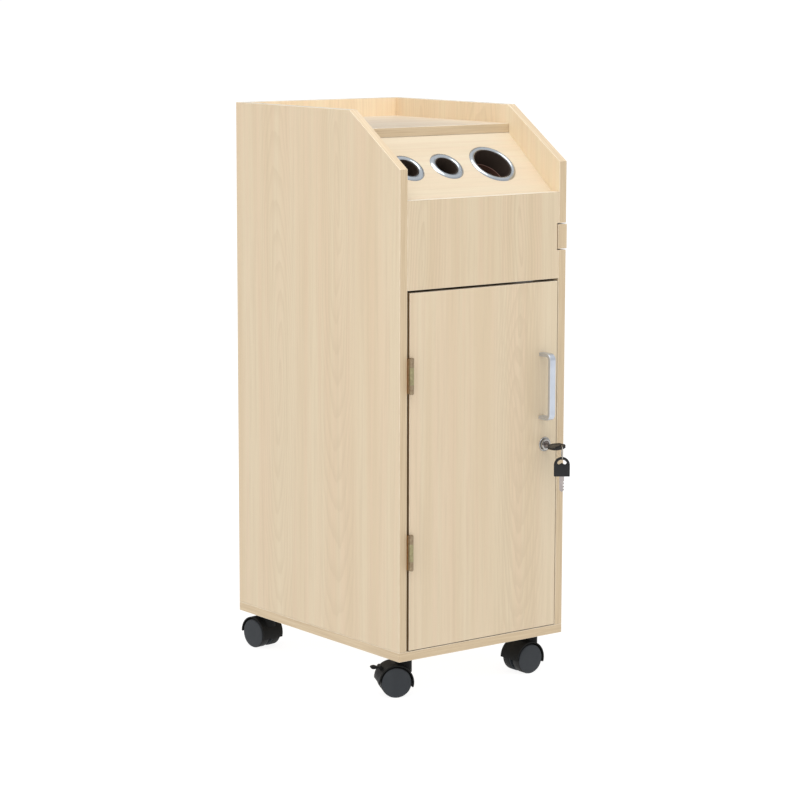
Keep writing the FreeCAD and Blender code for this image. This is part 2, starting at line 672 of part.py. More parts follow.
def make_handle():
    low = "handle_z - handle_tall / 2"
    x = "handle_x - handle_width / 2"
    y = "front - handle_reach"
    slab = box(x, y, low, "handle_width", "handle_reach", "handle_tall")
    tall = "handle_tall - 2 * handle_thick"
    wide = "handle_width + 2 * cutter"
    foot = f"{low} + handle_thick"
    gap = box(f"{x} - cutter", f"{y} + handle_thick", foot, wide, "handle_reach", tall)
    outer = size("handle_bend")
    bar = size("handle_thick")
    front = evaluate(y)
    ends = (evaluate(low), evaluate(low) + size("handle_tall"))

    def bend(edge, level_y, inset):
        middle = edge.CenterOfMass
        across = abs(edge.Vertexes[0].X - edge.Vertexes[-1].X) > size("handle_width") / 2
        at_end = min(abs(middle.z - ends[0] - inset), abs(middle.z - ends[1] + inset)) < 0.01
        return across and abs(middle.y - level_y) < 0.01 and at_end

    bow = round_edges(slab, outer, lambda edge: bend(edge, front, 0))
    space = round_edges(gap, outer - bar, lambda edge: bend(edge, front + bar, bar))
    blank = cut(bow, space)
    half = size("handle_width") / 2
    middle = evaluate("handle_x")
    door_face = evaluate("front")

    def arris(edge):
        flat = all(abs(abs(vertex.X - middle) - half) < 0.01 for vertex in edge.Vertexes)
        along_bar = abs(edge.Vertexes[0].X - edge.Vertexes[-1].X) < 0.01
        at_foot = all(abs(vertex.Y - door_face) < 0.01 for vertex in edge.Vertexes)
        return flat and along_bar and not at_foot

    smooth = round_edges(blank, size("handle_round"), arris)
    holes = [
        rod("bolt_radius + fit_gap", "bolt_bite + cutter", "handle_x", "front - bolt_bite", level, "Y")
        for level in BOLTS
    ]
    node("handle", cut(smooth, *holes))
    bolts = []
    for level in BOLTS:
        length = "bolt_bite - 2 * fit_gap + board + bolt_head_thick / 2"
        shank = rod("bolt_radius", length, "handle_x", "front - bolt_bite + 2 * fit_gap", level, "Y")
        head = rod("bolt_head_radius", "bolt_head_thick", "handle_x", "door_back", level, "Y")
        bolts.append(fuse(shank, head))
    node("handle_screws", group(*bolts))


# ---------------------------------------------------------------- lock and strike

def blade_slot():
    """The keyway: a flat slot from the plug's face, level before its tilt."""
    wide = "blade_width + 2 * blade_gap"
    thick = "blade_thick + 2 * blade_gap"
    return box(f"-({wide}) / 2", "-cutter", f"-({thick}) / 2", wide, "blade_length + cutter", thick)


def on_lock(thing, y, angle="-key_tilt"):
    """Place a piece, made round +Y, on the lock's axis."""
    return place(thing, "lock_x", y, "lock_z", (0, 1, 0), angle)


def make_lock():
    flange = rod("rosette_radius", "rosette_thick", 0, 0, 0, "Y")
    collar = rod("collar_radius", "collar_thick", 0, "-collar_thick", 0, "Y")
    barrel_long = "rosette_thick + board + barrel_tail"
    barrel = rod("barrel_radius", barrel_long, 0, 0, 0, "Y")
    bore_long = f"{barrel_long} + collar_thick + 2 * cutter"
    bore = rod("plug_radius + fit_gap / 2", bore_long, 0, "-collar_thick - cutter", 0, "Y")
    blank = cut(fuse(flange, collar, barrel), bore)
    soft = round_edges(
        blank,
        size("rosette_thick") / 2,
        lambda edge: is_circle(edge, size("rosette_radius"), 0, "y")
        or is_circle(edge, size("collar_radius"), -size("collar_thick"), "y"),
    )
    node("lock_housing", on_lock(soft, "front - rosette_thick", 0))
    plug_long = "collar_thick + rosette_thick + board + barrel_tail + turn_gap"
    shaft = rod("plug_radius", plug_long, 0, 0, 0, "Y")
    plug = cut(shaft, blade_slot())
    node("lock_plug", on_lock(plug, "lock_face"))
    nut_blank = new("Part::Prism")
    nut_blank.Polygon = 6
    bind(nut_blank, "Circumradius", "nut_radius")
    bind(nut_blank, "Height", "nut_thick")
    place(nut_blank, 0, 0, 0, (1, 0, 0), -90)
    nut_bore = rod("barrel_radius + fit_gap", "nut_thick + 2 * cutter", 0, "-cutter", 0, "Y")
    node("lock_nut", on_lock(cut(nut_blank, nut_bore), "door_back", 0))
    arm_long = "cam_reach - cam_width / 2"
    arm = box("-cam_width / 2", 0, f"-({arm_long})", "cam_width", "cam_thick", arm_long)
    eye = rod("cam_width / 2 + cam_thick", "cam_thick", 0, 0, 0, "Y")
    tip = rod("cam_width / 2", "cam_thick", 0, 0, f"-({arm_long})", "Y")
    screw = rod("cam_screw_radius", "cam_screw_thick", 0, "cam_thick", 0, "Y")
    node("lock_cam", on_lock(group(fuse(arm, eye, tip), screw), "cam_front", 0))
    y = "cam_front - turn_gap - strike_thick"
    low = "lock_z - strike_tall / 2"
    tongue = box("side_in - strike_lap", y, low, "strike_lap", "strike_thick", "strike_tall")
    foot = box("side_in - strike_thick", y, low, "strike_thick", "strike_foot", "strike_tall")
    node("lock_strike", fuse(tongue, foot))


# ---------------------------------------------------------------- keys and ring

def key_head():
    """A flat head in the XY plane: square at y = 0, round at its far end, at -Y."""
    half = "-head_thick / 2"
    straight = box("-head_width / 2", "-head_straight", half, "head_width", "head_straight", "head_thick")
    arch = rod("head_width / 2", "head_thick", 0, "-head_straight", half)
    through = "head_thick + 2 * cutter"
    disc = rod("head_slot", through, 0, "-head_straight", f"{half} - cutter")
    far_end = "-head_straight - head_width"
    deep = "head_width - head_sill"
    window = box("-head_width / 2", far_end, f"{half} - cutter", "head_width", deep, through)
    blank = cut(fuse(straight, arch), common(disc, window))
    flats = (size("head_thick") / 2, -size("head_thick") / 2)

    def rim(edge):
        return any(all(abs(vertex.Z - flat) < 0.01 for vertex in edge.Vertexes) for flat in flats)

    wide = "blade_width + 2 * blade_gap"
    thick = "blade_thick + 2 * blade_gap"
    socket = box(f"-({wide}) / 2", "-blade_root", f"-({thick}) / 2", wide, "blade_root + cutter", thick)
    return cut(round_edges(blank, size("edge_round"), rim), socket)


# Cuts in the blade's edge: distance from the head and depth, as parts of its length and width.
KEY_CUTS = ((0.3, 0.16), (0.5, 0.26), (0.7, 0.2))


def key_blade():
    """A blade along +Y with a pointed tip and three cuts, its root at y = -blade_root."""
    whole = "blade_root + blade_length"
    blank = box("-blade_width / 2", "-blade_root", "-blade_thick / 2", "blade_width", whole, "blade_thick")
    tools = []
    for along, deep in KEY_CUTS:
        x = f"blade_width / 2 - {deep} * blade_width"
        y = f"{along} * blade_length"
        tools.append(box(x, y, "-blade_thick", "blade_width", "blade_length / 10", "2 * blade_thick"))
    for turn in (-45, 135):
        # Two turned blocks trim the tip to a right-angled point.
        wedge = box(0, 0, 0, "2 * blade_width", "2 * blade_width", "2 * blade_thick")
        tools.append(place(wedge, 0, "blade_length", "-blade_thick", (0, 0, 1), turn))
    return cut(blank, *tools)


def make_keys():
    node("key_head", on_lock(key_head(), "head_y"))
    node("key_blade", on_lock(key_blade(), "head_y"))
    wire = new("Part::Torus")
    bind(wire, "Radius1", "ring_radius")
    bind(wire, "Radius2", "ring_wire")
    lying = group(wire)
    place(lying, 0, 0, 0, (0, 1, 0), 90)
    node("key_ring", place(group(lying), "lock_x", "rim_y", "ring_z", (0, 0, 1), "ring_turn"))
    for name, shape in (("spare_key_head", key_head()), ("spare_key_blade", key_blade())):
        hanging = group(shape)
        place(hanging, 0, 0, "-head_straight", (1, 0, 0), -90)
        node(name, place(group(hanging), "lock_x", "rim_y", "spare_arc_z", (0, 0, 1), "ring_turn"))


# ---------------------------------------------------------------- side tray

def make_tray():
    node("tray_lip", soft_box("lip_x", "front", "lip_low", "lip_thick", "notch_deep - lip_gap", "lip_tall"))
    long = "lip_x - tray_left"
    rear = "tray_rear - tray_board"
    node("tray_side_front", soft_box("tray_left", "tray_front", "tray_low", long, "tray_board", "tray_tall"))
    node("tray_side_rear", soft_box("tray_left", rear, "tray_low", long, "tray_board", "tray_tall"))
    inside = "tray_front + tray_board"
    deep = "tray_rear - tray_front - 2 * tray_board"
    node("tray_end", soft_box("tray_left", inside, "tray_low", "tray_board", deep, "tray_tall"))
    floor_left = "tray_left + tray_board"
    floor_long = f"{long} - tray_board"
    node("tray_floor", box(floor_left, inside, "tray_low", floor_long, deep, "tray_floor_thick"))
    rest = "fascia_low + board"
    tall = f"tray_low - slide_gap - ({rest})"
    run = "side_in + lip_x - slide_gap"
    front = soft_box("-side_in", "door_back", rest, run, "runner_wide", tall)
    runner_deep = "tray_board + tray_play + guide_thick"
    runner = box("-side_in", rear, rest, run, runner_deep, tall)
    guide_y = "tray_rear + tray_play"
    guide = box("-side_in", guide_y, rest, run, "guide_thick", f"{tall} + guide_tall")
    node("tray_runners", group(front, fuse(runner, guide)))


# ---------------------------------------------------------------- magnetic catch

def make_catch():
    left = "side_in - catch_edge - catch_wide / 2"
    face = "door_back + keeper_thick + catch_gap"
    low = "fascia_low - catch_tall"
    node("magnet_catch", soft_box(left, face, low, "catch_wide", "catch_deep", "catch_tall"))
    left = "side_in - catch_edge - keeper_wide / 2"
    low = "fascia_low - (catch_tall + keeper_tall + door_top_gap) / 2"
    node("catch_keeper", box(left, "door_back", low, "keeper_wide", "keeper_thick", "keeper_tall"))


# ---------------------------------------------------------------- casters

def axle_rod(radius, start, length):
    """A cylinder on the axle's line, before the caster is put in its place."""
    return rod(radius, length, "trail", start, "wheel_radius", "Y")


def hood_shape(braked):
    """Hood, web, swivel boss and, on a braked caster, the pedal's lugs; wheels trail along +X."""
    wide = "full_wide + 2 * cutter"
    left = "-half_wide - cutter"
    span = "2 * (hood_out + cutter)"
    low = f"wheel_radius - {span}"
    shell = cut(
        axle_rod("hood_out", "-half_wide", "full_wide"),
        axle_rod("hood_in", left, wide),
        box("trail", left, low, span, wide, span),
        box(f"trail - {span}", left, low, span, wide, f"{span} - hood_low"),
    )
    disc = axle_rod("hood_mid", "-web_thick / 2", "web_thick")
    under = box(f"trail - {span}", "-web_thick", low, f"2 * {span}", "2 * web_thick", span)
    web = fuse(cut(disc, under), axle_rod("axle_boss", "-web_thick / 2", "web_thick"))
    column = rod("boss_radius", "boss_tall", 0, 0, "boss_low")
    neck_long = "trail - stem_radius"
    neck = box(0, "-boss_radius", "boss_low", neck_long, "2 * boss_radius", "boss_tall - hood_wall")
    room = axle_rod("hood_mid", "-full_wide", "2 * full_wide")
    parts = [shell, web, cut(column, room), cut(neck, room)]
    stem_foot = "plate_low - stem_length - fit_gap"
    tools = [
        axle_rod("axle_radius + fit_gap", "-web_thick", "2 * web_thick"),
        rod("stem_radius + fit_gap", "stem_length + cutter", 0, 0, stem_foot),
    ]
    if braked:
        for start in ("pedal_half + lug_gap", "-pedal_half - lug_gap - lug_thick"):
            eye = rod("pedal_barrel", "lug_thick", "pedal_x", start, "pedal_z", "Y")
            root = box(0, 0, 0, "3 * pedal_barrel", "lug_thick", "2 * pedal_barrel")
            reach = "pedal_barrel * sqrt(2)"
            place(root, f"pedal_x - {reach}", start, f"pedal_z - 2 * {reach}", (0, 1, 0), -45)
            parts += [eye, root]
            length = "lug_thick + 2 * cutter"
            tools.append(rod("pedal_pin + fit_gap", length, "pedal_x", f"{start} - cutter", "pedal_z", "Y"))
        for start in ("web_thick / 2", "-web_thick / 2 - full_wide"):
            tools.append(axle_rod("hood_in", start, "full_wide"))
    return cut(fuse(*parts), *tools)


def wheel_pair():
    """Two wheels on the axle line, rims rounded, a shallow groove in each outer face."""
    pair = []
    for side in (-1, 1):
        inner = "web_thick / 2 + web_gap" if side > 0 else "-half_wide"
        tyre = axle_rod("wheel_radius", inner, "wheel_wide")
        soft = round_edges(tyre, size("wheel_round"), lambda edge: is_circle(edge, size("wheel_radius")))
        face = f"{side} * half_wide - dish_deep"
        groove = cut(
            axle_rod("dish_radius", face, "2 * dish_deep"),
            axle_rod("dish_radius - dish_wide", f"{face} - dish_deep", "4 * dish_deep"),
        )
        bore_start = inner if side > 0 else "dish_deep - half_wide"
        bore = axle_rod("axle_radius + fit_gap / 2", bore_start, "wheel_wide - dish_deep")
        pair.append(cut(soft, groove, bore))
    return group(*pair)


def pedal_shape():
    """Brake pedal: barrel, tongue with a thicker tip, and a pin through the lugs."""
    wide = "2 * pedal_half"
    barrel = rod("pedal_barrel", wide, "pedal_x", "-pedal_half", "pedal_z", "Y")
    tongue = box("pedal_x", "-pedal_half", "pedal_z - pedal_thick / 2", "pedal_reach", wide, "pedal_thick")
    bead = rod("pedal_bead", wide, "pedal_x + pedal_reach", "-pedal_half", "pedal_z", "Y")
    pin_half = "(pedal_half + lug_gap + lug_thick)"
    pin = rod("pedal_pin", f"2 * {pin_half}", "pedal_x", f"-{pin_half}", "pedal_z", "Y")
    return fuse(barrel, tongue, bead, pin)


def make_casters():
    plates = []

    def upright(edge):
        return edge.Vertexes[0].Z != edge.Vertexes[-1].Z

    for name, x, y, turn, braked in CASTERS:
        left = f"{x} - plate_side / 2"
        front = f"{y} - plate_side / 2"
        blank = box(left, front, "plate_low", "plate_side", "plate_side", "plate_thick")
        plate = round_edges(blank, size("plate_corner"), upright)
        stem = rod("stem_radius", "stem_length + plate_thick / 2", x, y, "plate_low - stem_length")
        holes = []
        for hole_x, hole_y in screw_spots(x, y):
            length = "plate_thick + 2 * cutter"
            holes.append(rod("plate_screw_radius + fit_gap", length, hole_x, hole_y, "plate_low - cutter"))
        plates.append(cut(fuse(plate, stem), *holes))
    node("caster_plates", group(*plates))
    screws = []
    shank_long = "plate_thick + plate_screw_length - 2 * fit_gap + plate_head_thick / 2"
    shank_low = "plate_low - plate_head_thick / 2"
    head_low = "plate_low - plate_head_thick"
    for name, x, y, turn, braked in CASTERS:
        for screw_x, screw_y in screw_spots(x, y):
            shank = rod("plate_screw_radius", shank_long, screw_x, screw_y, shank_low)
            head = rod("plate_head_radius", "plate_head_thick", screw_x, screw_y, head_low)
            screws.append(fuse(shank, head))
    node("caster_screws", group(*screws))
    shapes = {
        True: hood_shape(True),
        False: hood_shape(False),
    }
    wheels = wheel_pair()
    axle = axle_rod("axle_radius", "dish_deep + cutter - half_wide", "full_wide - 2 * (dish_deep + cutter)")
    pedal = pedal_shape()

    def stand(thing, x, y, turn):
        return place(group(thing), x, y, 0, (0, 0, 1), turn)

    for name, x, y, turn, braked in CASTERS:
        node(f"caster_hood_{name}", stand(shapes[braked], x, y, turn))
        node(f"caster_wheels_{name}", stand(wheels, x, y, turn))
        node(f"caster_axle_{name}", stand(axle, x, y, turn))
        if braked:
            node(f"caster_pedal_{name}", stand(pedal, x, y, turn))


# ---------------------------------------------------------------- build, test, write

make_sides()
make_boards()
make_holders()
make_door()
make_hinges()
make_handle()
make_lock()
make_keys()
make_tray()
make_catch()
make_casters()
doc.recompute()

faults = []
for thing in doc.Objects:
    if "Invalid" in thing.State or "Error" in thing.State:
        faults.append(f"{thing.Name} ({thing.Label}): {thing.State}")
for label, thing in nodes.items():
    if thing.Shape.isNull() or not thing.Shape.isValid() or not thing.Shape.Solids:
        faults.append(f"{label}: empty or broken shape")
if faults:
    raise RuntimeError("\n".join(faults))

os.makedirs("parts", exist_ok=True)
for label, thing in nodes.items():
    thing.Shape.exportStep(os.path.join("parts", label + ".step"))
    print(f"{label}: {len(thing.Shape.Solids)} solids, {thing.Shape.Volume / 1000:.2f} cm3")
print(len(nodes), "nodes")
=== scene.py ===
import math

import bmesh
import bpy
from mathutils import Matrix, Vector


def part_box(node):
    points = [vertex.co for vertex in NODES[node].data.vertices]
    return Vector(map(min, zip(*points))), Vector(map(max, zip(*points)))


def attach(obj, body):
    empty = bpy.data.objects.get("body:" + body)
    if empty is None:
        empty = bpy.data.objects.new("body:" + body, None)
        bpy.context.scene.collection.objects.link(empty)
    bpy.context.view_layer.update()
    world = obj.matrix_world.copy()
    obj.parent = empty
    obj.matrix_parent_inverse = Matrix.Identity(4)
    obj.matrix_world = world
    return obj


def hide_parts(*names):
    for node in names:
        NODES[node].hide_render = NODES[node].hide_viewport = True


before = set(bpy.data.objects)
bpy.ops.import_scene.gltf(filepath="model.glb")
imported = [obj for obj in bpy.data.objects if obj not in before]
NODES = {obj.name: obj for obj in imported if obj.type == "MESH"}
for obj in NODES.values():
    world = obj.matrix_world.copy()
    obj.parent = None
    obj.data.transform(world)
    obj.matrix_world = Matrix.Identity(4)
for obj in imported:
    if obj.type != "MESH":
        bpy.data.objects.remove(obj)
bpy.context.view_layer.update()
MM = 0.001

# ---------------------------------------------------------------- camera, floor and light

SENSOR = 36.0
LENS = 121.53
CAMERA_PLACE = Vector((-2.7039, -3.5542, 1.1464))
CAMERA_YAW = math.radians(37.3)
CAMERA_PITCH = math.radians(8.94)
CAMERA_ROLL = math.radians(0.12)

VIEW_REACH = 400

# Brightness of the surroundings as the camera sees them, and as they light the object.
SEEN_STRENGTH, LIT_STRENGTH = 1.05, 0.86
LOW_SKY, HIGH_SKY, SKY_TOP = (0.62, 0.63, 0.65, 1), (1.0, 1.0, 1.0, 1), 0.55

# A dark wall behind the object on the right. It shows mostly in the plated parts, and the camera
# doesn't see it directly. It fades in between two cosines of the angle from its middle.
DARK_WALL = Vector((0.76, 0.60, 0.22)).normalized()
DARK_WALL_COLOUR = (0.09, 0.10, 0.13, 1)
DARK_WALL_EDGE, DARK_WALL_FULL = 0.72, 0.92

FLOOR_HALF, FLOOR_GREY, FLOOR_GLOW = 200, (0.2, 0.2, 0.2, 1), 0.9

# Name, place, the point it faces, width, power in watts and colour.
SOFTBOXES = (
    ("softbox_above", (-0.6, -0.9, 3.4), (0, 0, 0.5), 2.6, 50, (1, 0.99, 0.97)),
    ("softbox_left", (-3.2, -1.2, 1.7), (0, 0, 0.6), 1.8, 13, (1, 1, 1)),
)


def make_camera():
    data = bpy.data.cameras.new("camera")
    data.lens = LENS
    data.sensor_width = SENSOR
    data.clip_end = VIEW_REACH
    camera = bpy.data.objects.new("camera", data)
    bpy.context.scene.collection.objects.link(camera)
    ahead = Vector((
        math.sin(CAMERA_YAW) * math.cos(CAMERA_PITCH),
        math.cos(CAMERA_YAW) * math.cos(CAMERA_PITCH),
        -math.sin(CAMERA_PITCH),
    ))
    turn = ahead.to_track_quat("-Z", "Y").to_matrix().to_4x4()
    roll = Matrix.Rotation(CAMERA_ROLL, 4, "Z")
    camera.matrix_world = Matrix.Translation(CAMERA_PLACE) @ turn @ roll
    bpy.context.scene.camera = camera


def area_light(name, place, target, across, power, colour):
    data = bpy.data.lights.new(name, "AREA")
    data.shape = "SQUARE"
    data.size = across
    data.energy = power
    data.color = colour
    lamp = bpy.data.objects.new(name, data)
    bpy.context.scene.collection.objects.link(lamp)
    place = Vector(place)
    turn = (Vector(target) - place).to_track_quat("-Z", "Y").to_matrix().to_4x4()
    lamp.matrix_world = Matrix.Translation(place) @ turn


def make_world():
    """Surroundings that light the object, with the dark wall, and a plain white for the camera."""
    world = bpy.data.worlds.new("studio")
    bpy.context.scene.world = world
    world.use_nodes = True
    tree = world.node_tree
    tree.nodes.clear()
    out = tree.nodes.new("ShaderNodeOutputWorld")
    seen = tree.nodes.new("ShaderNodeBackground")
    seen.inputs["Color"].default_value = (1, 1, 1, 1)
    seen.inputs["Strength"].default_value = SEEN_STRENGTH
    lit = tree.nodes.new("ShaderNodeBackground")
    lit.inputs["Strength"].default_value = LIT_STRENGTH
    where = tree.nodes.new("ShaderNodeTexCoord")
    split = tree.nodes.new("ShaderNodeSeparateXYZ")
    ramp = tree.nodes.new("ShaderNodeValToRGB")
    ramp.color_ramp.elements[0].position = 0.0
    ramp.color_ramp.elements[0].color = LOW_SKY
    ramp.color_ramp.elements[1].position = SKY_TOP
    ramp.color_ramp.elements[1].color = HIGH_SKY
    path = tree.nodes.new("ShaderNodeLightPath")
    pick = tree.nodes.new("ShaderNodeMixShader")
    link = tree.links.new
    link(where.outputs["Generated"], split.inputs[0])
    link(split.outputs["Z"], ramp.inputs["Fac"])
    aim = tree.nodes.new("ShaderNodeVectorMath")
    aim.operation = "DOT_PRODUCT"
    aim.inputs[1].default_value = DARK_WALL
    near = tree.nodes.new("ShaderNodeMapRange")
    near.inputs["From Min"].default_value = DARK_WALL_EDGE
    near.inputs["From Max"].default_value = DARK_WALL_FULL
    wall = tree.nodes.new("ShaderNodeMix")
    wall.data_type = "RGBA"
    wall.inputs[7].default_value = DARK_WALL_COLOUR
    link(where.outputs["Generated"], aim.inputs[0])
    link(aim.outputs["Value"], near.inputs["Value"])
    link(near.outputs[0], wall.inputs[0])
    link(ramp.outputs["Color"], wall.inputs[6])
    link(wall.outputs[2], lit.inputs["Color"])
    link(path.outputs["Is Camera Ray"], pick.inputs["Fac"])
    link(lit.outputs[0], pick.inputs[1])
    link(seen.outputs[0], pick.inputs[2])
    link(pick.outputs[0], out.inputs["Surface"])


def make_floor():
    """A pale floor that gives off its own even light."""
    mesh = bmesh.new()
    bmesh.ops.create_grid(mesh, x_segments=1, y_segments=1, size=FLOOR_HALF)
    data = bpy.data.meshes.new("studio_floor")
    mesh.to_mesh(data)
    mesh.free()
    floor = bpy.data.objects.new("studio_floor", data)
    bpy.context.scene.collection.objects.link(floor)
    material = bpy.data.materials.new("pale_floor")
    material.use_nodes = True
    shader = material.node_tree.nodes["Principled BSDF"]
    shader.inputs["Base Color"].default_value = FLOOR_GREY
    shader.inputs["Roughness"].default_value = 0.9
    shader.inputs["Specular IOR Level"].default_value = 0.0
    shader.inputs["Emission Color"].default_value = (1, 1, 1, 1)
    shader.inputs["Emission Strength"].default_value = FLOOR_GLOW
    data.materials.append(material)


make_camera()
bpy.context.scene.view_settings.view_transform = "Standard"
make_world()
make_floor()
for softbox in SOFTBOXES:
    area_light(*softbox)

# ---------------------------------------------------------------- node trees


class Wiring:
    """Short calls for building a node tree."""

    def __init__(self, tree):
        self.tree = tree

    def add(self, kind, **settings):
        made = self.tree.nodes.new(kind)
        for name, value in settings.items():
            setattr(made, name, value)
        return made

    def feed(self, socket, value):
        if hasattr(value, "is_output"):
            self.tree.links.new(value, socket)
        elif value is not None:
            socket.default_value = value

    def insert(self, group, **values):
        """A node group in this tree, its inputs fed by name, with _ for a space."""
        made = self.add("ShaderNodeGroup", node_tree=group)
        for name, value in values.items():
            self.feed(made.inputs[name.replace("_", " ")], value)
        return made

    def sums(self, operation, first, second=None, clamp=False):
        made = self.add("ShaderNodeMath", operation=operation, use_clamp=clamp)
        for socket, value in zip(made.inputs, (first, second)):
            self.feed(socket, value)
        return made.outputs[0]

    def vectors(self, operation, first, second):
        made = self.add("ShaderNodeVectorMath", operation=operation)
        self.feed(made.inputs[0], first)
        self.feed(made.inputs[1], second)
        return made.outputs["Value" if operation == "DOT_PRODUCT" else 0]

    def noise(self, where, scale, detail=2.0, rough=0.5, stretch=None):
        if stretch is not None:
            where = self.vectors("MULTIPLY", where, stretch)
        made = self.add("ShaderNodeTexNoise")
        self.feed(made.inputs["Vector"], where)
        self.feed(made.inputs["Scale"], scale)
        self.feed(made.inputs["Detail"], detail)
        self.feed(made.inputs["Roughness"], rough)
        return made.outputs["Fac"]

    def remap(self, value, low, high, to_low=0.0, to_high=1.0, smooth=False):
        made = self.add("ShaderNodeMapRange", interpolation_type="SMOOTHSTEP" if smooth else "LINEAR")
        for socket, item in zip(made.inputs, (value, low, high, to_low, to_high)):
            self.feed(socket, item)
        return made.outputs[0]

    def blend(self, fac, first, second, kind="MIX"):
        made = self.add("ShaderNodeMix", data_type="RGBA", blend_type=kind)
        self.feed(made.inputs[0], fac)
        self.feed(made.inputs[6], first)
        self.feed(made.inputs[7], second)
        return made.outputs[2]

    def split(self, where):
        made = self.add("ShaderNodeSeparateXYZ")
        self.feed(made.inputs[0], where)
        return made.outputs

    def join(self, x, y, z):
        made = self.add("ShaderNodeCombineXYZ")
        for socket, value in zip(made.inputs, (x, y, z)):
            self.feed(socket, value)
        return made.outputs[0]


SOCKETS = {"value": "NodeSocketFloat", "colour": "NodeSocketColor", "vector": "NodeSocketVector"}


def new_group(name, takes, gives):
    """A shader node group; takes and gives list (name, kind, default)."""
    tree = bpy.data.node_groups.new(name, "ShaderNodeTree")
    for direction, rows in (("INPUT", takes), ("OUTPUT", gives)):
        for label, kind, default in rows:
            socket = tree.interface.new_socket(label, in_out=direction, socket_type=SOCKETS[kind])
            if default is not None:
                socket.default_value = default
    wiring = Wiring(tree)
    return wiring, wiring.add("NodeGroupInput").outputs, wiring.add("NodeGroupOutput").inputs


def heart_group():
    """Nested long arches round a heart, as in a plain-sawn board: dark lines, 0 to 1."""
    wire, takes, gives = new_group(
        "arched_figure",
        [("Across", "value", 0), ("Along", "value", 0),
         ("Heart Across", "value", 0), ("Heart Along", "value", 0),
         ("Squash", "value", 0.11), ("Pitch", "value", 0.0058),
         ("Reach", "value", 0.06), ("Jitter", "value", 0)],
        [("Lines", "value", None)],
    )
    across = wire.sums("SUBTRACT", takes["Across"], takes["Heart Across"])
    along = wire.sums("SUBTRACT", takes["Along"], takes["Heart Along"])
    sway = wire.noise(wire.join(takes["Jitter"], 0, along), 3.0, 2.0)
    across = wire.sums("ADD", across, wire.remap(sway, 0.0, 1.0, -0.03, 0.03))
    squashed = wire.sums("MULTIPLY", along, takes["Squash"])
    near = wire.noise(wire.join(across, takes["Jitter"], along), 22.0, 3.0, 0.6, (1.0, 1.0, 0.12))
    radius = wire.sums("POWER", wire.sums("ADD", wire.sums("MULTIPLY", across, across),
                                          wire.sums("MULTIPLY", squashed, squashed)), 0.5)
    radius = wire.sums("ADD", radius, wire.remap(near, 0.0, 1.0, -0.006, 0.006))
    turns = wire.sums("FRACT", wire.sums("DIVIDE", radius, takes["Pitch"]))
    rise = wire.remap(turns, 0.35, 0.9, 0.0, 1.0, smooth=True)
    fall = wire.remap(turns, 0.9, 1.0, 1.0, 0.0, smooth=True)
    line = wire.sums("MULTIPLY", rise, fall)
    fade = wire.remap(wire.sums("ABSOLUTE", across), wire.sums("MULTIPLY", takes["Reach"], 0.45),
                      takes["Reach"], 1.0, 0.0, smooth=True)
    wire.feed(gives["Lines"], wire.sums("MULTIPLY", line, fade))
    return wire.tree


HEART = heart_group()


def grain_group():
    """Printed maple: bands, streaks, fibres and two arched figures. Z runs along the grain, X across."""
    wire, takes, gives = new_group(
        "maple_grain",
        [("Vector", "vector", None), ("Heart A", "vector", None), ("Heart B", "vector", None),
         ("Figure", "value", 1.0), ("Seed", "value", 0.0)],
        [("Colour", "colour", None), ("Height", "value", None)],
    )
    across, through, along = wire.split(takes["Vector"])[:3]
    flat = wire.join(across, takes["Seed"], along)
    bands = wire.noise(flat, 1.0, 3.0, 0.55, (26.0, 7.0, 0.9))
    tints = wire.noise(flat, 1.0, 2.0, 0.5, (58.0, 13.0, 1.3))
    streaks = wire.noise(flat, 1.0, 3.0, 0.65, (210.0, 31.0, 4.5))
    fibres = wire.noise(flat, 1.0, 2.0, 0.6, (900.0, 57.0, 22.0))
    pores = wire.noise(flat, 1.0, 1.0, 0.5, (1500.0, 71.0, 70.0))
    colour = wire.blend(wire.remap(bands, 0.36, 0.66, smooth=True), MAPLE_CREAM, MAPLE_TAN)
    colour = wire.blend(wire.remap(tints, 0.42, 0.66, 0.0, 0.55, smooth=True), colour, MAPLE_ROSE)
    colour = wire.blend(wire.remap(streaks, 0.46, 0.78, 0.0, 0.5), colour, MAPLE_STREAK)
    lines = []
    for letter, jitter in (("A", 3.1), ("B", 8.7)):
        spot = wire.split(takes[f"Heart {letter}"])
        figure = wire.insert(HEART, Across=across, Along=along, Heart_Across=spot[0],
                             Heart_Along=spot[2], Jitter=jitter)
        lines.append(figure.outputs[0])
    lines = wire.sums("MAXIMUM", *lines)
    lines = wire.sums("MULTIPLY", lines, takes["Figure"])
    colour = wire.blend(wire.sums("MULTIPLY", lines, 0.42), colour, MAPLE_STREAK)
    colour = wire.blend(wire.remap(fibres, 0.5, 0.8, 0.0, 0.22), colour, MAPLE_STREAK)
    colour = wire.blend(wire.remap(pores, 0.62, 0.8, 0.0, 0.16), colour, MAPLE_PORE)
    wire.feed(gives["Colour"], colour)
    height = wire.sums("ADD", wire.sums("MULTIPLY", fibres, 0.5), wire.sums("MULTIPLY", pores, 0.5))
    wire.feed(gives["Height"], height)
    return wire.tree


def arris_group():
    """1 on a board's rounded arrises, 0 on its flat faces, broken up along its length: where a pale line
    goes that is partly the paler core of trimmed banding and partly a painted highlight.
    """
    wire, takes, gives = new_group(
        "arris_pale_core_and_highlight",
        [("Normal", "vector", None), ("Position", "vector", None), ("Amount", "value", 1.0)],
        [("Mask", "value", None)],
    )
    facing = wire.sums("ABSOLUTE", wire.split(takes["Normal"])[1])
    edge = wire.sums("MULTIPLY", wire.remap(facing, 0.08, 0.3), wire.remap(facing, 0.9, 0.995, 1.0, 0.0))
    broken = wire.remap(wire.noise(takes["Position"], 60.0, 3.0), 0.3, 0.7, 0.45, 1.0)
    wire.feed(gives["Mask"], wire.sums("MULTIPLY", wire.sums("MULTIPLY", edge, broken), takes["Amount"]))
    return wire.tree


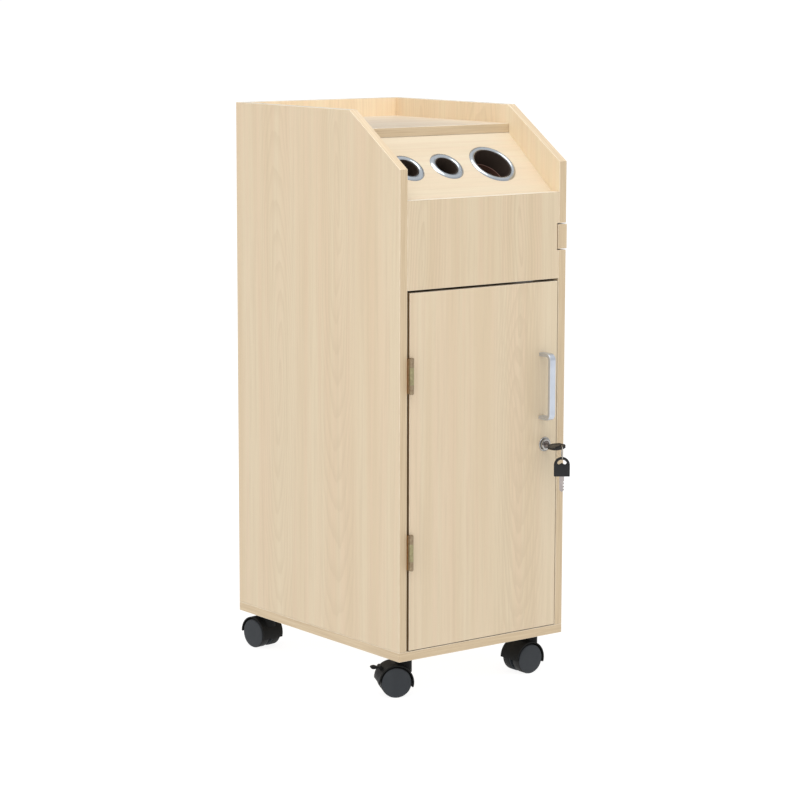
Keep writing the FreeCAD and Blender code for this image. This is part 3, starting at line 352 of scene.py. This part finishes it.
def surface_group():
    """Small unevenness for moulded and metal skins: a slow mottle, a fine grain and thin scratches."""
    wire, takes, gives = new_group(
        "skin",
        [("Vector", "vector", None), ("Mottle", "value", 40.0), ("Grain", "value", 900.0)],
        [("Mottle", "value", None), ("Grain", "value", None), ("Scratch", "value", None)],
    )
    wire.feed(gives["Mottle"], wire.noise(takes["Vector"], takes["Mottle"], 3.0, 0.55))
    wire.feed(gives["Grain"], wire.noise(takes["Vector"], takes["Grain"], 2.0, 0.5))
    lines = []
    for stretch in ((700.0, 40.0, 60.0), (50.0, 60.0, 800.0)):
        lines.append(wire.remap(wire.noise(takes["Vector"], 1.0, 2.0, 0.6, stretch), 0.64, 0.72))
    wire.feed(gives["Scratch"], wire.sums("MAXIMUM", *lines, clamp=True))
    return wire.tree


MAPLE_CREAM = (0.735, 0.610, 0.430, 1)
MAPLE_TAN = (0.700, 0.555, 0.375, 1)
MAPLE_ROSE = (0.740, 0.570, 0.400, 1)
MAPLE_STREAK = (0.610, 0.475, 0.315, 1)
MAPLE_PORE = (0.500, 0.385, 0.250, 1)
BAND = ((0.655, 0.520, 0.345, 1), (0.545, 0.412, 0.258, 1))
# Door edges: raw board, made darker than its own colour as painted shade in the door gaps.
RAW_EDGE_AND_GAP_SHADE = ((0.300, 0.200, 0.100, 1), (0.190, 0.125, 0.065, 1))
# Pale arris line: partly the paler core of trimmed banding, partly a painted highlight.
ARRIS_PALE_CORE_AND_HIGHLIGHT = (0.86, 0.77, 0.62, 1)
SEAM = (0.30, 0.225, 0.14, 1)
# Painted light on board edges: tilted edges get a lighter, cooler painted highlight, level top edges a
# paler painted sheen.
TILTED_EDGE_HIGHLIGHT = (1.14, 1.17, 1.24, 1)
LEVEL_EDGE_SHEEN = (0.80, 0.77, 0.69, 1)

GRAIN = grain_group()
PALE_CORE_AND_HIGHLIGHT_GROUP = arris_group()
SKIN = surface_group()


def new_material(name):
    material = bpy.data.materials.new(name)
    material.use_nodes = True
    wire = Wiring(material.node_tree)
    shader = material.node_tree.nodes["Principled BSDF"]
    where = wire.add("ShaderNodeTexCoord")
    return material, wire, shader, where


def add_bump(wire, shader, height, distance):
    bump = wire.add("ShaderNodeBump")
    bump.inputs["Distance"].default_value = distance
    bump.inputs["Strength"].default_value = 1.0
    wire.feed(bump.inputs["Height"], height)
    wire.tree.links.new(bump.outputs[0], shader.inputs["Normal"])


def maple(name, along, across, hearts, seed, face, figure=1.0, tone_and_painted_light=(1, 1, 1), edge=BAND, seam=None):
    """Board facing with maple print: along and across lie in the face, which looks towards face. Edges get
    a streaked band, lifted by a painted highlight where they tilt up and paled by a painted sheen where
    they face up, and a seam at a height gets a thin dark line on upright faces."""
    material, wire, shader, where = new_material(name)
    along, across = Vector(along).normalized(), Vector(across).normalized()
    through = Vector(face).normalized()
    spot = where.outputs["Object"]
    normal = where.outputs["Normal"]

    def on_board(vector):
        parts = [wire.vectors("DOT_PRODUCT", vector, tuple(way)) for way in (across, through, along)]
        return wire.join(*parts)

    turned = on_board(spot)
    heart_a, heart_b = ((heart[0], 0, heart[1]) for heart in hearts)
    grain = wire.insert(GRAIN, Vector=turned, Heart_A=heart_a, Heart_B=heart_b, Seed=seed, Figure=figure)
    facing = wire.sums("ABSOLUTE", wire.vectors("DOT_PRODUCT", normal, tuple(through)))
    on_edge = wire.remap(facing, 0.75, 0.9, 1.0, 0.0)
    streak = wire.noise(turned, 1.0, 3.0, 0.6, (9.0, 520.0, 9.0))
    band = wire.blend(wire.remap(streak, 0.35, 0.7), *edge)
    # Edges that face partly up get a painted highlight, edges that face straight up a painted sheen.
    rise = wire.split(normal)[2]
    tilted = wire.blend(1.0, band, TILTED_EDGE_HIGHLIGHT, "MULTIPLY")
    band = wire.blend(wire.remap(rise, 0.3, 0.6), band, tilted)
    band = wire.blend(wire.remap(rise, 0.9, 0.97, 0.0, 0.7), band, LEVEL_EDGE_SHEEN)
    # The print is scaled per board: its own tone, and for the back, right side, shelf and slope boards
    # painted light as well.
    printed = wire.blend(1.0, grain.outputs["Colour"], (*tone_and_painted_light, 1), "MULTIPLY")
    colour = wire.blend(on_edge, printed, band)
    if seam is not None:
        near = wire.sums("ABSOLUTE", wire.sums("SUBTRACT", wire.split(spot)[2], seam))
        ragged = wire.remap(wire.noise(spot, 90.0, 3.0), 0.35, 0.65, 0.35, 0.85)
        upright = wire.remap(wire.sums("ABSOLUTE", rise), 0.3, 0.6, 1.0, 0.0)
        line = wire.sums("MULTIPLY", wire.remap(near, 0.0004, 0.0012, 1.0, 0.0), ragged)
        line = wire.sums("MULTIPLY", line, upright)
        colour = wire.blend(line, colour, SEAM)
    # Pale line on the rounded arrises: part paler banding core, part painted highlight.
    pale_core_and_highlight_node = wire.insert(PALE_CORE_AND_HIGHLIGHT_GROUP, Normal=on_board(normal), Position=spot, Amount=0.9)
    colour = wire.blend(pale_core_and_highlight_node.outputs["Mask"], colour, ARRIS_PALE_CORE_AND_HIGHLIGHT)
    wire.feed(shader.inputs["Base Color"], colour)
    dull = wire.remap(wire.noise(spot, 14.0, 3.0), 0.3, 0.7, 0.36, 0.46)
    wire.feed(shader.inputs["Roughness"], dull)
    shader.inputs["Specular IOR Level"].default_value = 0.4
    add_bump(wire, shader, grain.outputs["Height"], 0.00006)
    return material


def coated(name, colour, other, rough, metallic=0.0, mottle=40.0, grain=900.0, bump=0.00003,
           scratch=0.25, specular=0.5):
    """A moulded or plated skin: two near colours, uneven gloss, fine bump and faint scratches."""
    material, wire, shader, where = new_material(name)
    skin = wire.insert(SKIN, Vector=where.outputs["Object"], Mottle=mottle, Grain=grain)
    mixed = wire.blend(wire.remap(skin.outputs["Mottle"], 0.35, 0.65), (*colour, 1), (*other, 1))
    wire.feed(shader.inputs["Base Color"], mixed)
    gloss = wire.remap(skin.outputs["Mottle"], 0.3, 0.7, rough - 0.05, rough + 0.05)
    gloss = wire.sums("ADD", gloss, wire.sums("MULTIPLY", skin.outputs["Scratch"], scratch * 0.2))
    wire.feed(shader.inputs["Roughness"], gloss)
    shader.inputs["Metallic"].default_value = metallic
    shader.inputs["Specular IOR Level"].default_value = specular
    cut = wire.sums("MULTIPLY", skin.outputs["Scratch"], scratch)
    add_bump(wire, shader, wire.sums("SUBTRACT", skin.outputs["Grain"], cut), bump)
    return material


X, Y, Z = Vector((1, 0, 0)), Vector((0, 1, 0)), Vector((0, 0, 1))
SLOPE = math.radians(38.963)
DOWN_SLOPE = Vector((0, -math.cos(SLOPE), -math.sin(SLOPE)))
OFF_SLOPE = Vector((0, -math.sin(SLOPE), math.cos(SLOPE)))
SLOPE_HEAD_Y, SLOPE_HEAD_Z = -97.0, 890.0
HINGE_Y = -0.233
# Painted shade: orange brown for hinge parts deep in the door gap.
GAP_SHADE_ORANGE, GAP_SHADE_BROWN = (0.36, 0.17, 0.045, 1), (0.22, 0.11, 0.035, 1)
BASE_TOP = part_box("base_panel")[1][2]
FASCIA_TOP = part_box("front_fascia")[1][2]

side_left = maple("side_left_maple", Z, Y, ((0.105, 0.47), (-0.06, 0.80)), 0.3, X, figure=0.75,
                  tone_and_painted_light=(0.94, 0.94, 0.935), seam=BASE_TOP)
# Right side: the factor above 1 is painted light, the inner face made as bright as the light bouncing
# inside the cabinet makes it.
side_right = maple("side_right_maple", Z, Y, ((-0.02, 0.40), (0.14, 0.86)), 4.1, X, tone_and_painted_light=(1.12, 1.13, 1.12),
                   seam=BASE_TOP)
# The door's edges use the raw-edge colours, darkened as painted shade so the gaps round the door read dark.
door_maple = maple("door_maple", Z, X, ((0.072, 0.345), (0.078, 0.62)), 1.7, Y,
                   tone_and_painted_light=(0.965, 0.975, 0.985), edge=RAW_EDGE_AND_GAP_SHADE)
fascia_maple = maple("fascia_maple", Z, X, ((0.075, 0.735), (-0.125, 0.70)), 2.3, Y,
                     tone_and_painted_light=(0.935, 0.935, 0.93), seam=FASCIA_TOP)
# Shelves, base and tray floor: the factor cooled towards blue is a painted sheen, the paler look level
# faces take from reflection.
shelf_maple = maple("shelf_maple", X, Y, ((0.02, 0.05), (0.15, -0.2)), 3.9, Z, figure=0.5,
                    tone_and_painted_light=(0.98, 1.05, 1.21))
# Slanted board: the factor cooled towards blue is a painted sheen, as on the shelves.
slope_maple = maple("slope_maple", X, DOWN_SLOPE, ((0.30, 0.0), (0.25, 0.1)), 5.3, OFF_SLOPE,
                    figure=0.3, tone_and_painted_light=(0.985, 1.03, 1.10))
# Back board, tray sides and runners: the factor well above 1 is painted light, the back's inner face made
# as bright as the light falling on it.
plain_maple = maple("plain_maple", Z, X, ((0.05, 0.83), (-0.11, 0.4)), 6.1, Y, figure=0.6,
                    tone_and_painted_light=(1.28, 1.30, 1.31))
lip_maple = maple("lip_maple", Y, Z, ((0.70, -0.1), (0.8, 0.1)), 7.7, X, figure=0.4)

chrome = coated("ring_chrome", (0.52, 0.56, 0.60), (0.46, 0.50, 0.54), 0.2, metallic=1.0,
                bump=0.000004, scratch=0.3)
steel = coated("zinc_steel", (0.46, 0.47, 0.48), (0.38, 0.39, 0.40), 0.36, metallic=1.0, mottle=90.0)
aluminium = coated("satin_aluminium", (0.62, 0.66, 0.73), (0.57, 0.61, 0.68), 0.33, metallic=0.92,
                   grain=1500.0)
plug_metal = coated("plug_metal", (0.24, 0.21, 0.19), (0.16, 0.14, 0.13), 0.3, metallic=0.9,
                    mottle=260.0)
nickel = coated("nickel_plate", (0.50, 0.49, 0.47), (0.40, 0.39, 0.38), 0.2, metallic=1.0, bump=0.000006)
key_steel = coated("key_steel", (0.50, 0.45, 0.43), (0.38, 0.34, 0.33), 0.28, metallic=1.0,
                   bump=0.000008)
brown_screw = coated("bronzed_screw", (0.34, 0.25, 0.13), (0.24, 0.17, 0.09), 0.38, metallic=0.9,
                     mottle=220.0)


def hinge_skin(name, light, dark):
    """Bronzed steel, brassy at the front; further back in the gap it is painted orange brown as painted
    shade.
    """
    material, wire, shader, where = new_material(name)
    skin = wire.insert(SKIN, Vector=where.outputs["Object"], Mottle=300.0)
    mottle = wire.remap(skin.outputs["Mottle"], 0.35, 0.65)
    brass = wire.blend(mottle, light, dark)
    brown = wire.blend(mottle, GAP_SHADE_ORANGE, GAP_SHADE_BROWN)
    # Deeper in the gap, the colour turns to the painted shade.
    deep_in_gap = wire.remap(wire.split(where.outputs["Object"])[1], HINGE_Y + 0.0028, HINGE_Y + 0.0042)
    wire.feed(shader.inputs["Base Color"], wire.blend(deep_in_gap, brass, brown))
    wire.feed(shader.inputs["Roughness"], wire.remap(skin.outputs["Grain"], 0.3, 0.7, 0.32, 0.46))
    shader.inputs["Metallic"].default_value = 0.8
    add_bump(wire, shader, skin.outputs["Grain"], 0.00002)
    return material


def cup_skin(name, centre, liner):
    """Black liner down to a depth, then dark brown below it as painted shade of the wood inside, and a
    pinkish line between them as a painted highlight where light catches the liner's lower rim.
    """
    material, wire, shader, where = new_material(name)
    skin = wire.insert(SKIN, Vector=where.outputs["Object"])
    away = wire.vectors("SUBTRACT", where.outputs["Object"], tuple(centre))
    depth = wire.vectors("DOT_PRODUCT", away, tuple(OFF_SLOPE))
    black = wire.blend(skin.outputs["Mottle"], (0.040, 0.029, 0.022, 1), (0.056, 0.040, 0.031, 1))
    # Painted shade: the dark brown stands for shaded wood below the liner.
    brown = wire.blend(skin.outputs["Mottle"], (0.135, 0.068, 0.046, 1), (0.105, 0.052, 0.036, 1))
    below = wire.remap(depth, -liner, -liner - 0.0006)
    # Painted highlight: light catching the liner's lower rim.
    rim_glint = wire.remap(wire.sums("ABSOLUTE", wire.sums("ADD", depth, liner)), 0.0003, 0.0007, 1.0, 0.0)
    colour = wire.blend(below, black, brown)
    wire.feed(shader.inputs["Base Color"], wire.blend(rim_glint, colour, (0.62, 0.38, 0.32, 1)))
    wire.feed(shader.inputs["Roughness"], wire.remap(skin.outputs["Grain"], 0.3, 0.7, 0.36, 0.48))
    shader.inputs["Specular IOR Level"].default_value = 0.3
    add_bump(wire, shader, skin.outputs["Grain"], 0.00003)
    return material


bronze = hinge_skin("bronzed_frame_leaf", (0.36, 0.28, 0.18, 1), (0.26, 0.19, 0.12, 1))
olive_bronze = hinge_skin("bronzed_door_leaf", (0.38, 0.345, 0.19, 1), (0.29, 0.25, 0.14, 1))
tyre_black = coated("tyre_rubber", (0.010, 0.010, 0.010), (0.015, 0.015, 0.015), 0.6, specular=0.2)
key_black = coated("key_plastic", (0.012, 0.012, 0.013), (0.018, 0.018, 0.019), 0.34, scratch=0.4,
                   specular=0.28)
catch_white = coated("catch_plastic", (0.62, 0.60, 0.55), (0.56, 0.54, 0.49), 0.5)
hood_black = coated("hood_plastic", (0.0095, 0.0100, 0.0100), (0.0140, 0.0140, 0.0135), 0.5,
                    bump=0.00002, specular=0.08)
wheel_grey = coated("wheel_plastic", (0.030, 0.034, 0.039), (0.036, 0.040, 0.045), 0.45,
                     bump=0.00002, specular=0.22)

NODE_MATERIALS = {
    "left_side_panel": side_left, "right_side_panel": side_right, "base_panel": shelf_maple,
    "back_panel": plain_maple, "top_shelf": shelf_maple, "front_fascia": fascia_maple,
    "partition": shelf_maple, "inner_shelf": shelf_maple, "shelf_pegs": steel, "holder_panel": slope_maple,
    "door": door_maple, "hinge_pins": bronze, "hinge_frame_screws": brown_screw,
    "hinge_door_screws": brown_screw, "handle": aluminium, "handle_screws": steel, "lock_nut": steel,
    "lock_cam": steel, "lock_strike": steel, "key_blade": key_steel, "spare_key_blade": key_steel,
    "key_ring": nickel, "tray_lip": lip_maple, "tray_side_front": plain_maple,
    "tray_side_rear": plain_maple, "tray_end": lip_maple, "tray_floor": shelf_maple,
    "tray_runners": plain_maple, "magnet_catch": catch_white, "catch_keeper": steel,
    "caster_plates": steel, "caster_screws": steel,
    "hinge_frame_leaf_upper": bronze, "hinge_frame_leaf_lower": bronze,
    "hinge_door_leaf_upper": olive_bronze, "hinge_door_leaf_lower": olive_bronze,
}


def dress(thing, material):
    thing.data.materials.clear()
    thing.data.materials.append(material)
    for face in thing.data.polygons:
        face.material_index = 0


for label, material in NODE_MATERIALS.items():
    dress(NODES[label], material)

# ---------------------------------------------------------------- shaping


SMOOTH_BELOW = math.radians(35)


def lathe(profile, steps=96):
    """A turned solid round Z from (radius, height) pairs in millimetres; a closed section or one that
    starts and ends on the axis."""
    mesh = bmesh.new()
    verts = [mesh.verts.new((radius * MM, 0, height * MM)) for radius, height in profile]
    edges = [mesh.edges.new(pair) for pair in zip(verts, verts[1:])]
    if profile[0][0] > 0:
        edges.append(mesh.edges.new((verts[-1], verts[0])))
    bmesh.ops.spin(
        mesh, geom=verts + edges, cent=(0, 0, 0), axis=(0, 0, 1), angle=2 * math.pi, steps=steps,
        use_merge=True,
    )
    bmesh.ops.remove_doubles(mesh, verts=mesh.verts, dist=1e-7)
    bmesh.ops.recalc_face_normals(mesh, faces=mesh.faces)
    return mesh


def arc(middle, radius, start_angle, end_angle, steps):
    """Points on an arc, for an outline or a profile; degrees."""
    points = []
    for step in range(steps + 1):
        angle = math.radians(start_angle + (end_angle - start_angle) * step / steps)
        points.append((middle[0] + radius * math.cos(angle), middle[1] + radius * math.sin(angle)))
    return points


def slab(points, low, high):
    """A flat solid: an outline in XY, millimetres, between two heights."""
    mesh = bmesh.new()
    face = mesh.faces.new([mesh.verts.new((x * MM, y * MM, low * MM)) for x, y in points])
    raised = bmesh.ops.extrude_face_region(mesh, geom=[face])["geom"]
    moved = [item for item in raised if isinstance(item, bmesh.types.BMVert)]
    bmesh.ops.translate(mesh, verts=moved, vec=(0, 0, (high - low) * MM))
    bmesh.ops.recalc_face_normals(mesh, faces=mesh.faces)
    return mesh


def soften(mesh, width, segments=2, above=30, edges=None):
    """Bevel the edges sharper than an angle, or the ones given."""
    if edges is None:
        limit = math.radians(above)
        edges = [edge for edge in mesh.edges if edge.is_manifold and edge.calc_face_angle(0) > limit]
    bmesh.ops.bevel(
        mesh, geom=edges, offset=width * MM, offset_type="OFFSET", affect="EDGES", segments=segments,
        profile=0.5, material=-1, clamp_overlap=True,
    )
    return mesh


def turn(mesh, angle, axis):
    """Turn a shape about an axis through the origin; degrees."""
    bmesh.ops.rotate(
        mesh, verts=mesh.verts, cent=(0, 0, 0), matrix=Matrix.Rotation(math.radians(angle), 3, axis)
    )
    return mesh


def shift(mesh, x=0.0, y=0.0, z=0.0):
    """Move a shape; millimetres."""
    bmesh.ops.translate(mesh, verts=mesh.verts, vec=Vector((x, y, z)) * MM)
    return mesh


def join(*meshes):
    """Several shapes in one bmesh."""
    whole = meshes[0]
    for other in meshes[1:]:
        data = bpy.data.meshes.new("joining")
        other.to_mesh(data)
        other.free()
        whole.from_mesh(data)
        bpy.data.meshes.remove(data)
    return whole


def piece(name, mesh, body, slot, material, *stands_for):
    """Finish a shape: smooth shading, material, body and the CAD nodes it stands for; slot is not used."""
    data = bpy.data.meshes.new(name)
    bmesh.ops.triangulate(mesh, faces=[face for face in mesh.faces if len(face.verts) > 4])
    for face in mesh.faces:
        face.smooth = True
    for edge in mesh.edges:
        edge.smooth = edge.is_manifold and edge.calc_face_angle(0) < SMOOTH_BELOW
    mesh.to_mesh(data)
    mesh.free()
    made = bpy.data.objects.new(name, data)
    bpy.context.scene.collection.objects.link(made)
    data.materials.append(material)
    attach(made, body)
    if stands_for:
        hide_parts(*stands_for)
    return made


# ---------------------------------------------------------------- holder rings and cups

# Name, place across, bore radius, flange radius and how deep the liner goes.
HOLDERS = (
    ("large", 73.5, 33.0, 41.2, 29.0),
    ("middle", -21.0, 19.8, 29.6, 34.0),
    ("left", -100.5, 19.8, 29.6, 34.0),
)
HOLDER_LINE = 73  # from the slope's head down to the holders' middles
RING_SHIFT = 0.6  # the rings sit this much right of their bores
SLEEVE_WALL, SLEEVE_DEPTH = 1.5, 6.0
DOME_FOOT, DOME_RISE, DOME_STEPS = 0.25, 2.6, 12
CUP_WALL, CUP_DEPTH = 1.4, 91.99


def holder_centre(across):
    return Vector((across, SLOPE_HEAD_Y, SLOPE_HEAD_Z)) + HOLDER_LINE * DOWN_SLOPE


def on_slope(mesh, across):
    """Stand a turned shape on the slanted board's face, on the line of the holders."""
    turn(mesh, math.degrees(SLOPE), "X")
    return shift(mesh, *holder_centre(across))


def ring_section(bore, flange):
    """Domed flange with a rolled inner lip and a short sleeve."""
    width = flange - bore
    outside = bore + SLEEVE_WALL
    profile = [(outside, -SLEEVE_DEPTH), (outside, 0.0), (flange - 0.3, 0.0), (flange, DOME_FOOT)]
    for step in range(1, DOME_STEPS + 1):
        part = step / DOME_STEPS
        rise = DOME_RISE * math.sin(part * math.pi / 2) ** 0.85
        profile.append((flange - width * 0.55 * part, DOME_FOOT + rise))
    lip = [
        (bore + width * 0.3, 2.7), (bore + width * 0.16, 2.3), (bore + 0.5, 1.8), (bore + 0.1, 1.2),
        (bore, 0.8),
    ]
    return profile + lip + [(bore, -5.6), (bore + 0.4, -SLEEVE_DEPTH)]


def cup_section(bore, depth):
    """A round-cornered cup with a rim under the ring's sleeve and its liner carried up inside it."""
    inside, rim = bore - CUP_WALL, bore + SLEEVE_WALL
    return [
        (0, -depth), (bore - 3, -depth), (bore - 0.8, -depth + 0.8), (bore, -depth + 3), (bore, -9.0),
        (rim, -7.5), (rim, -6.1), (bore - 0.1, -6.1), (bore - 0.1, 0.9), (bore - 0.7, 1.2),
        (inside, 0.7), (inside, -depth + 4.4),
        (inside - 0.8, -depth + 2.4), (inside - 3, -depth + CUP_WALL), (0, -depth + CUP_WALL),
    ]


for name, across, bore, flange, liner in HOLDERS:
    mesh = on_slope(lathe(ring_section(bore, flange), 128), across + RING_SHIFT)
    piece(f"ring_{name}", mesh, "cabinet", "chromed_ring", chrome, f"holder_ring_{name}")
    mesh = on_slope(lathe(cup_section(bore, CUP_DEPTH)), across)
    lining = cup_skin(f"cup_liner_and_shade_{name}", holder_centre(across) * MM, liner * MM)
    piece(f"cup_{name}", mesh, "cabinet", "holder_cup", lining, f"holder_cup_{name}")

# ---------------------------------------------------------------- lock and keys

LOCK_X, LOCK_Z, FRONT = 128.5, 387.5, -227.0


COLLAR = [
    (6.3, -25.0), (6.3, 4.9), (6.5, 5.0), (8.7, 5.0), (9.3, 4.7), (9.5, 4.1), (9.5, 1.0), (9.7, 0.8),
    (10.2, 0.8), (10.4, 1.1), (10.5, 1.75), (11.2, 1.85), (11.7, 1.5), (12.0, 0.9), (12.0, 0.0),
    (8.8, 0.0), (8.8, -23.0), (8.4, -25.0),
]
PLUG = [(0, -24.0), (6.2, -24.0), (6.2, 4.3), (5.9, 4.6), (5.2, 4.7), (4.6, 4.2), (0, 4.2)]


def on_lock(mesh):
    """Turn a shape made round Z, face up, to look forwards on the lock's line."""
    turn(mesh, 90, "X")
    return shift(mesh, LOCK_X, FRONT, LOCK_Z)


piece("lock_collar", on_lock(lathe(COLLAR)), "door", "nickel_plate", nickel, "lock_housing")
piece("lock_core_face", on_lock(lathe(PLUG, 64)), "lock_core", "nickel_plate", plug_metal, "lock_plug")

HEAD_Y, RIM_Y, SPARE_Z = -241.5, -271.5, 359.16
HEAD_RADIUS, HEAD_MIDDLE, HEAD_HALF = 13.0, 19, 1.6
RIM_WIDTH, RIM_SLOPE, RIM_DEPTH = 2.2, 0.35, 0.45
LEVEL_SLACK = 1e-6
# How far a head narrows at its root on each side, and how high its shoulders are.
MAIN_ROOT, SPARE_ROOT = (8.0, 9.0), (0.8, 0.8)
MAIN_TWIST, MAIN_TILT, SPARE_TWIST = -10, 1, -37


def key_outline(taper, shoulder):
    """A head's outline: it widens from its root over the shoulder, then ends in a half round."""
    root = HEAD_RADIUS - taper
    low = [(-HEAD_RADIUS, shoulder), (-root, 0.0), (root, 0.0), (HEAD_RADIUS, shoulder)]
    return low + arc((0, HEAD_MIDDLE), HEAD_RADIUS, 0, 180, 40)


def bow_outline():
    """The opening in a key head: a bow with its flat side peaked in the middle."""
    flat_side = [
        (-6.9, 20.7), (-5.2, 19.6), (-2.9, 20.4), (0, 22.4), (2.9, 20.4), (5.2, 19.6), (6.9, 20.7),
    ]
    return arc((0, 19.6), 8.4, 20, 160, 28) + flat_side


def faces_at(mesh, level):
    """The flat faces at a height."""
    return [
        face for face in mesh.faces
        if all(abs(vert.co.z - level * MM) < LEVEL_SLACK for vert in face.verts)
    ]


def lies_among_flat(face):
    return all(all(abs(other.normal.z) > 0.9 for other in edge.link_faces) for edge in face.edges)


def key_head_mesh(taper, shoulder):
    """Moulded head: flat grip between raised rims, a bow-shaped opening at the round end. Root at
    y = 0, round end along +Y, thickness along Z."""
    mesh = bmesh.new()
    outer = [mesh.verts.new((x * MM, y * MM, 0)) for x, y in key_outline(taper, shoulder)]
    inner = [mesh.verts.new((x * MM, y * MM, 0)) for x, y in bow_outline()]
    edges = [mesh.edges.new((a, b)) for ring in (outer, inner) for a, b in zip(ring, ring[1:] + ring[:1])]
    bmesh.ops.triangle_fill(mesh, use_beauty=True, use_dissolve=False, edges=edges)
    bmesh.ops.translate(mesh, verts=mesh.verts, vec=(0, 0, -HEAD_HALF * MM))
    made = bmesh.ops.extrude_face_region(mesh, geom=list(mesh.faces))["geom"]
    moved = [item for item in made if isinstance(item, bmesh.types.BMVert)]
    bmesh.ops.translate(mesh, verts=moved, vec=(0, 0, 2 * HEAD_HALF * MM))
    bmesh.ops.recalc_face_normals(mesh, faces=mesh.faces)
    for level in (HEAD_HALF, -HEAD_HALF):
        bmesh.ops.inset_region(mesh, faces=faces_at(mesh, level), thickness=RIM_WIDTH * MM, depth=0,
                               use_even_offset=True, use_boundary=True)
        grip = [face for face in faces_at(mesh, level) if lies_among_flat(face)]
        bmesh.ops.inset_region(mesh, faces=grip, thickness=RIM_SLOPE * MM, depth=-RIM_DEPTH * MM,
                               use_even_offset=True, use_boundary=True)
    sharp = [
        edge for edge in mesh.edges
        if edge.is_manifold and edge.calc_face_angle(0) > math.radians(60)
        and all(abs(abs(vert.co.z) - HEAD_HALF * MM) < LEVEL_SLACK for vert in edge.verts)
    ]
    soften(mesh, 0.45, 2, edges=sharp)
    return mesh


main_head = turn(key_head_mesh(*MAIN_ROOT), 180, "Z")
turn(main_head, MAIN_TWIST, "Y")
turn(main_head, MAIN_TILT, "X")
shift(main_head, LOCK_X, HEAD_Y, LOCK_Z)
piece("key_head_turned", main_head, "lock_core", "key_plastic", key_black, "key_head")

spare = turn(key_head_mesh(*SPARE_ROOT), 180, "Z")
shift(spare, 0, HEAD_MIDDLE, 0)
turn(spare, -90, "X")
turn(spare, SPARE_TWIST, "Z")
shift(spare, LOCK_X, RIM_Y, SPARE_Z)
piece("spare_key_bow", spare, "spare_key", "key_plastic", key_black, "spare_key_head")

# ---------------------------------------------------------------- casters

# Name, place, the direction its wheels trail in, and whether it has a brake.
CASTERS = (
    ("front_left", -132, -193, 154, True),
    ("front_right", 132, -193, 180, False),
    ("back_left", -132, 193, 97, False),
    ("back_right", 132, 193, 25, True),
)
TRAIL, AXLE_Z = 18.0, 25.0


def stand(mesh, x, y, angle):
    """Turn a caster's shape to its direction, and put it under its corner."""
    turn(mesh, angle, "Z")
    return shift(mesh, x, y)


def on_axle(mesh):
    """A shape turned round Z becomes one round the axle, its +Z towards +Y."""
    turn(mesh, -90, "X")
    return shift(mesh, TRAIL, 0, AXLE_Z)


# Sections of one wheel: radius, and distance from the caster's middle.
DISC = [
    (3.1, 3.3), (20.0, 3.3), (23.4, 3.5), (24.2, 4.4), (24.2, 20.4), (23.9, 21.2), (23.2, 21.7),
    (22.0, 21.85), (14.0, 21.88), (8.0, 21.9), (0, 21.9), (0, 20.9), (3.1, 20.9),
]
TYRE = [(24.0, 5.0), (24.7, 5.2), (25.0, 5.8), (25.0, 18.9), (24.8, 19.8), (24.3, 20.3), (24.0, 20.3)]


def both_wheels(section):
    """A wheel's section turned on both sides of the caster."""
    pair = []
    for side in (1, -1):
        wheel = lathe([(radius, side * level) for radius, level in section])
        pair.append(on_axle(wheel))
    return join(*pair)


PEDAL_OUT, PEDAL_UP, PEDAL_HALF, PEDAL_PIN = 41.38, 47.58, 5.5, 8.5
TIP_MIDDLE, TIP_LONG, TIP_HIGH = 10.3, 5.3, 2.5
BARREL_RADIUS, PIN_RADIUS = 3.0, 1.5


def brake_pedal():
    """A barrel on its pin, a thin neck and an oval tip, pressed down with a toe."""
    tip = [(TIP_MIDDLE + TIP_LONG * x, TIP_HIGH * y) for x, y in arc((0, 0), 1.0, 202, 518, 40)]
    side = arc((0, 0), BARREL_RADIUS, 30, 330, 32) + tip
    shape = soften(slab(side, -PEDAL_HALF, PEDAL_HALF), 0.8, 3, above=60)
    pin = lathe([(0, -PEDAL_PIN), (PIN_RADIUS, -PEDAL_PIN), (PIN_RADIUS, PEDAL_PIN), (0, PEDAL_PIN)], 32)
    whole = turn(join(shape, pin), 90, "X")
    return shift(whole, PEDAL_OUT, 0, PEDAL_UP)


for name, x, y, angle, braked in CASTERS:
    tyres = stand(both_wheels(TYRE), x, y, angle)
    piece(f"caster_tyres_{name}", tyres, f"caster_wheels_{name}", "wheel_plastic", tyre_black)
    pair = stand(both_wheels(DISC), x, y, angle)
    piece(f"caster_discs_{name}", pair, f"caster_wheels_{name}", "wheel_plastic", wheel_grey,
          f"caster_wheels_{name}")
    dress(NODES[f"caster_axle_{name}"], steel)
    dress(NODES[f"caster_hood_{name}"], hood_black)
    if braked:
        piece(f"toe_pedal_{name}", stand(brake_pedal(), x, y, angle), f"brake_pedal_{name}", "hood_plastic",
              hood_black, f"caster_pedal_{name}")
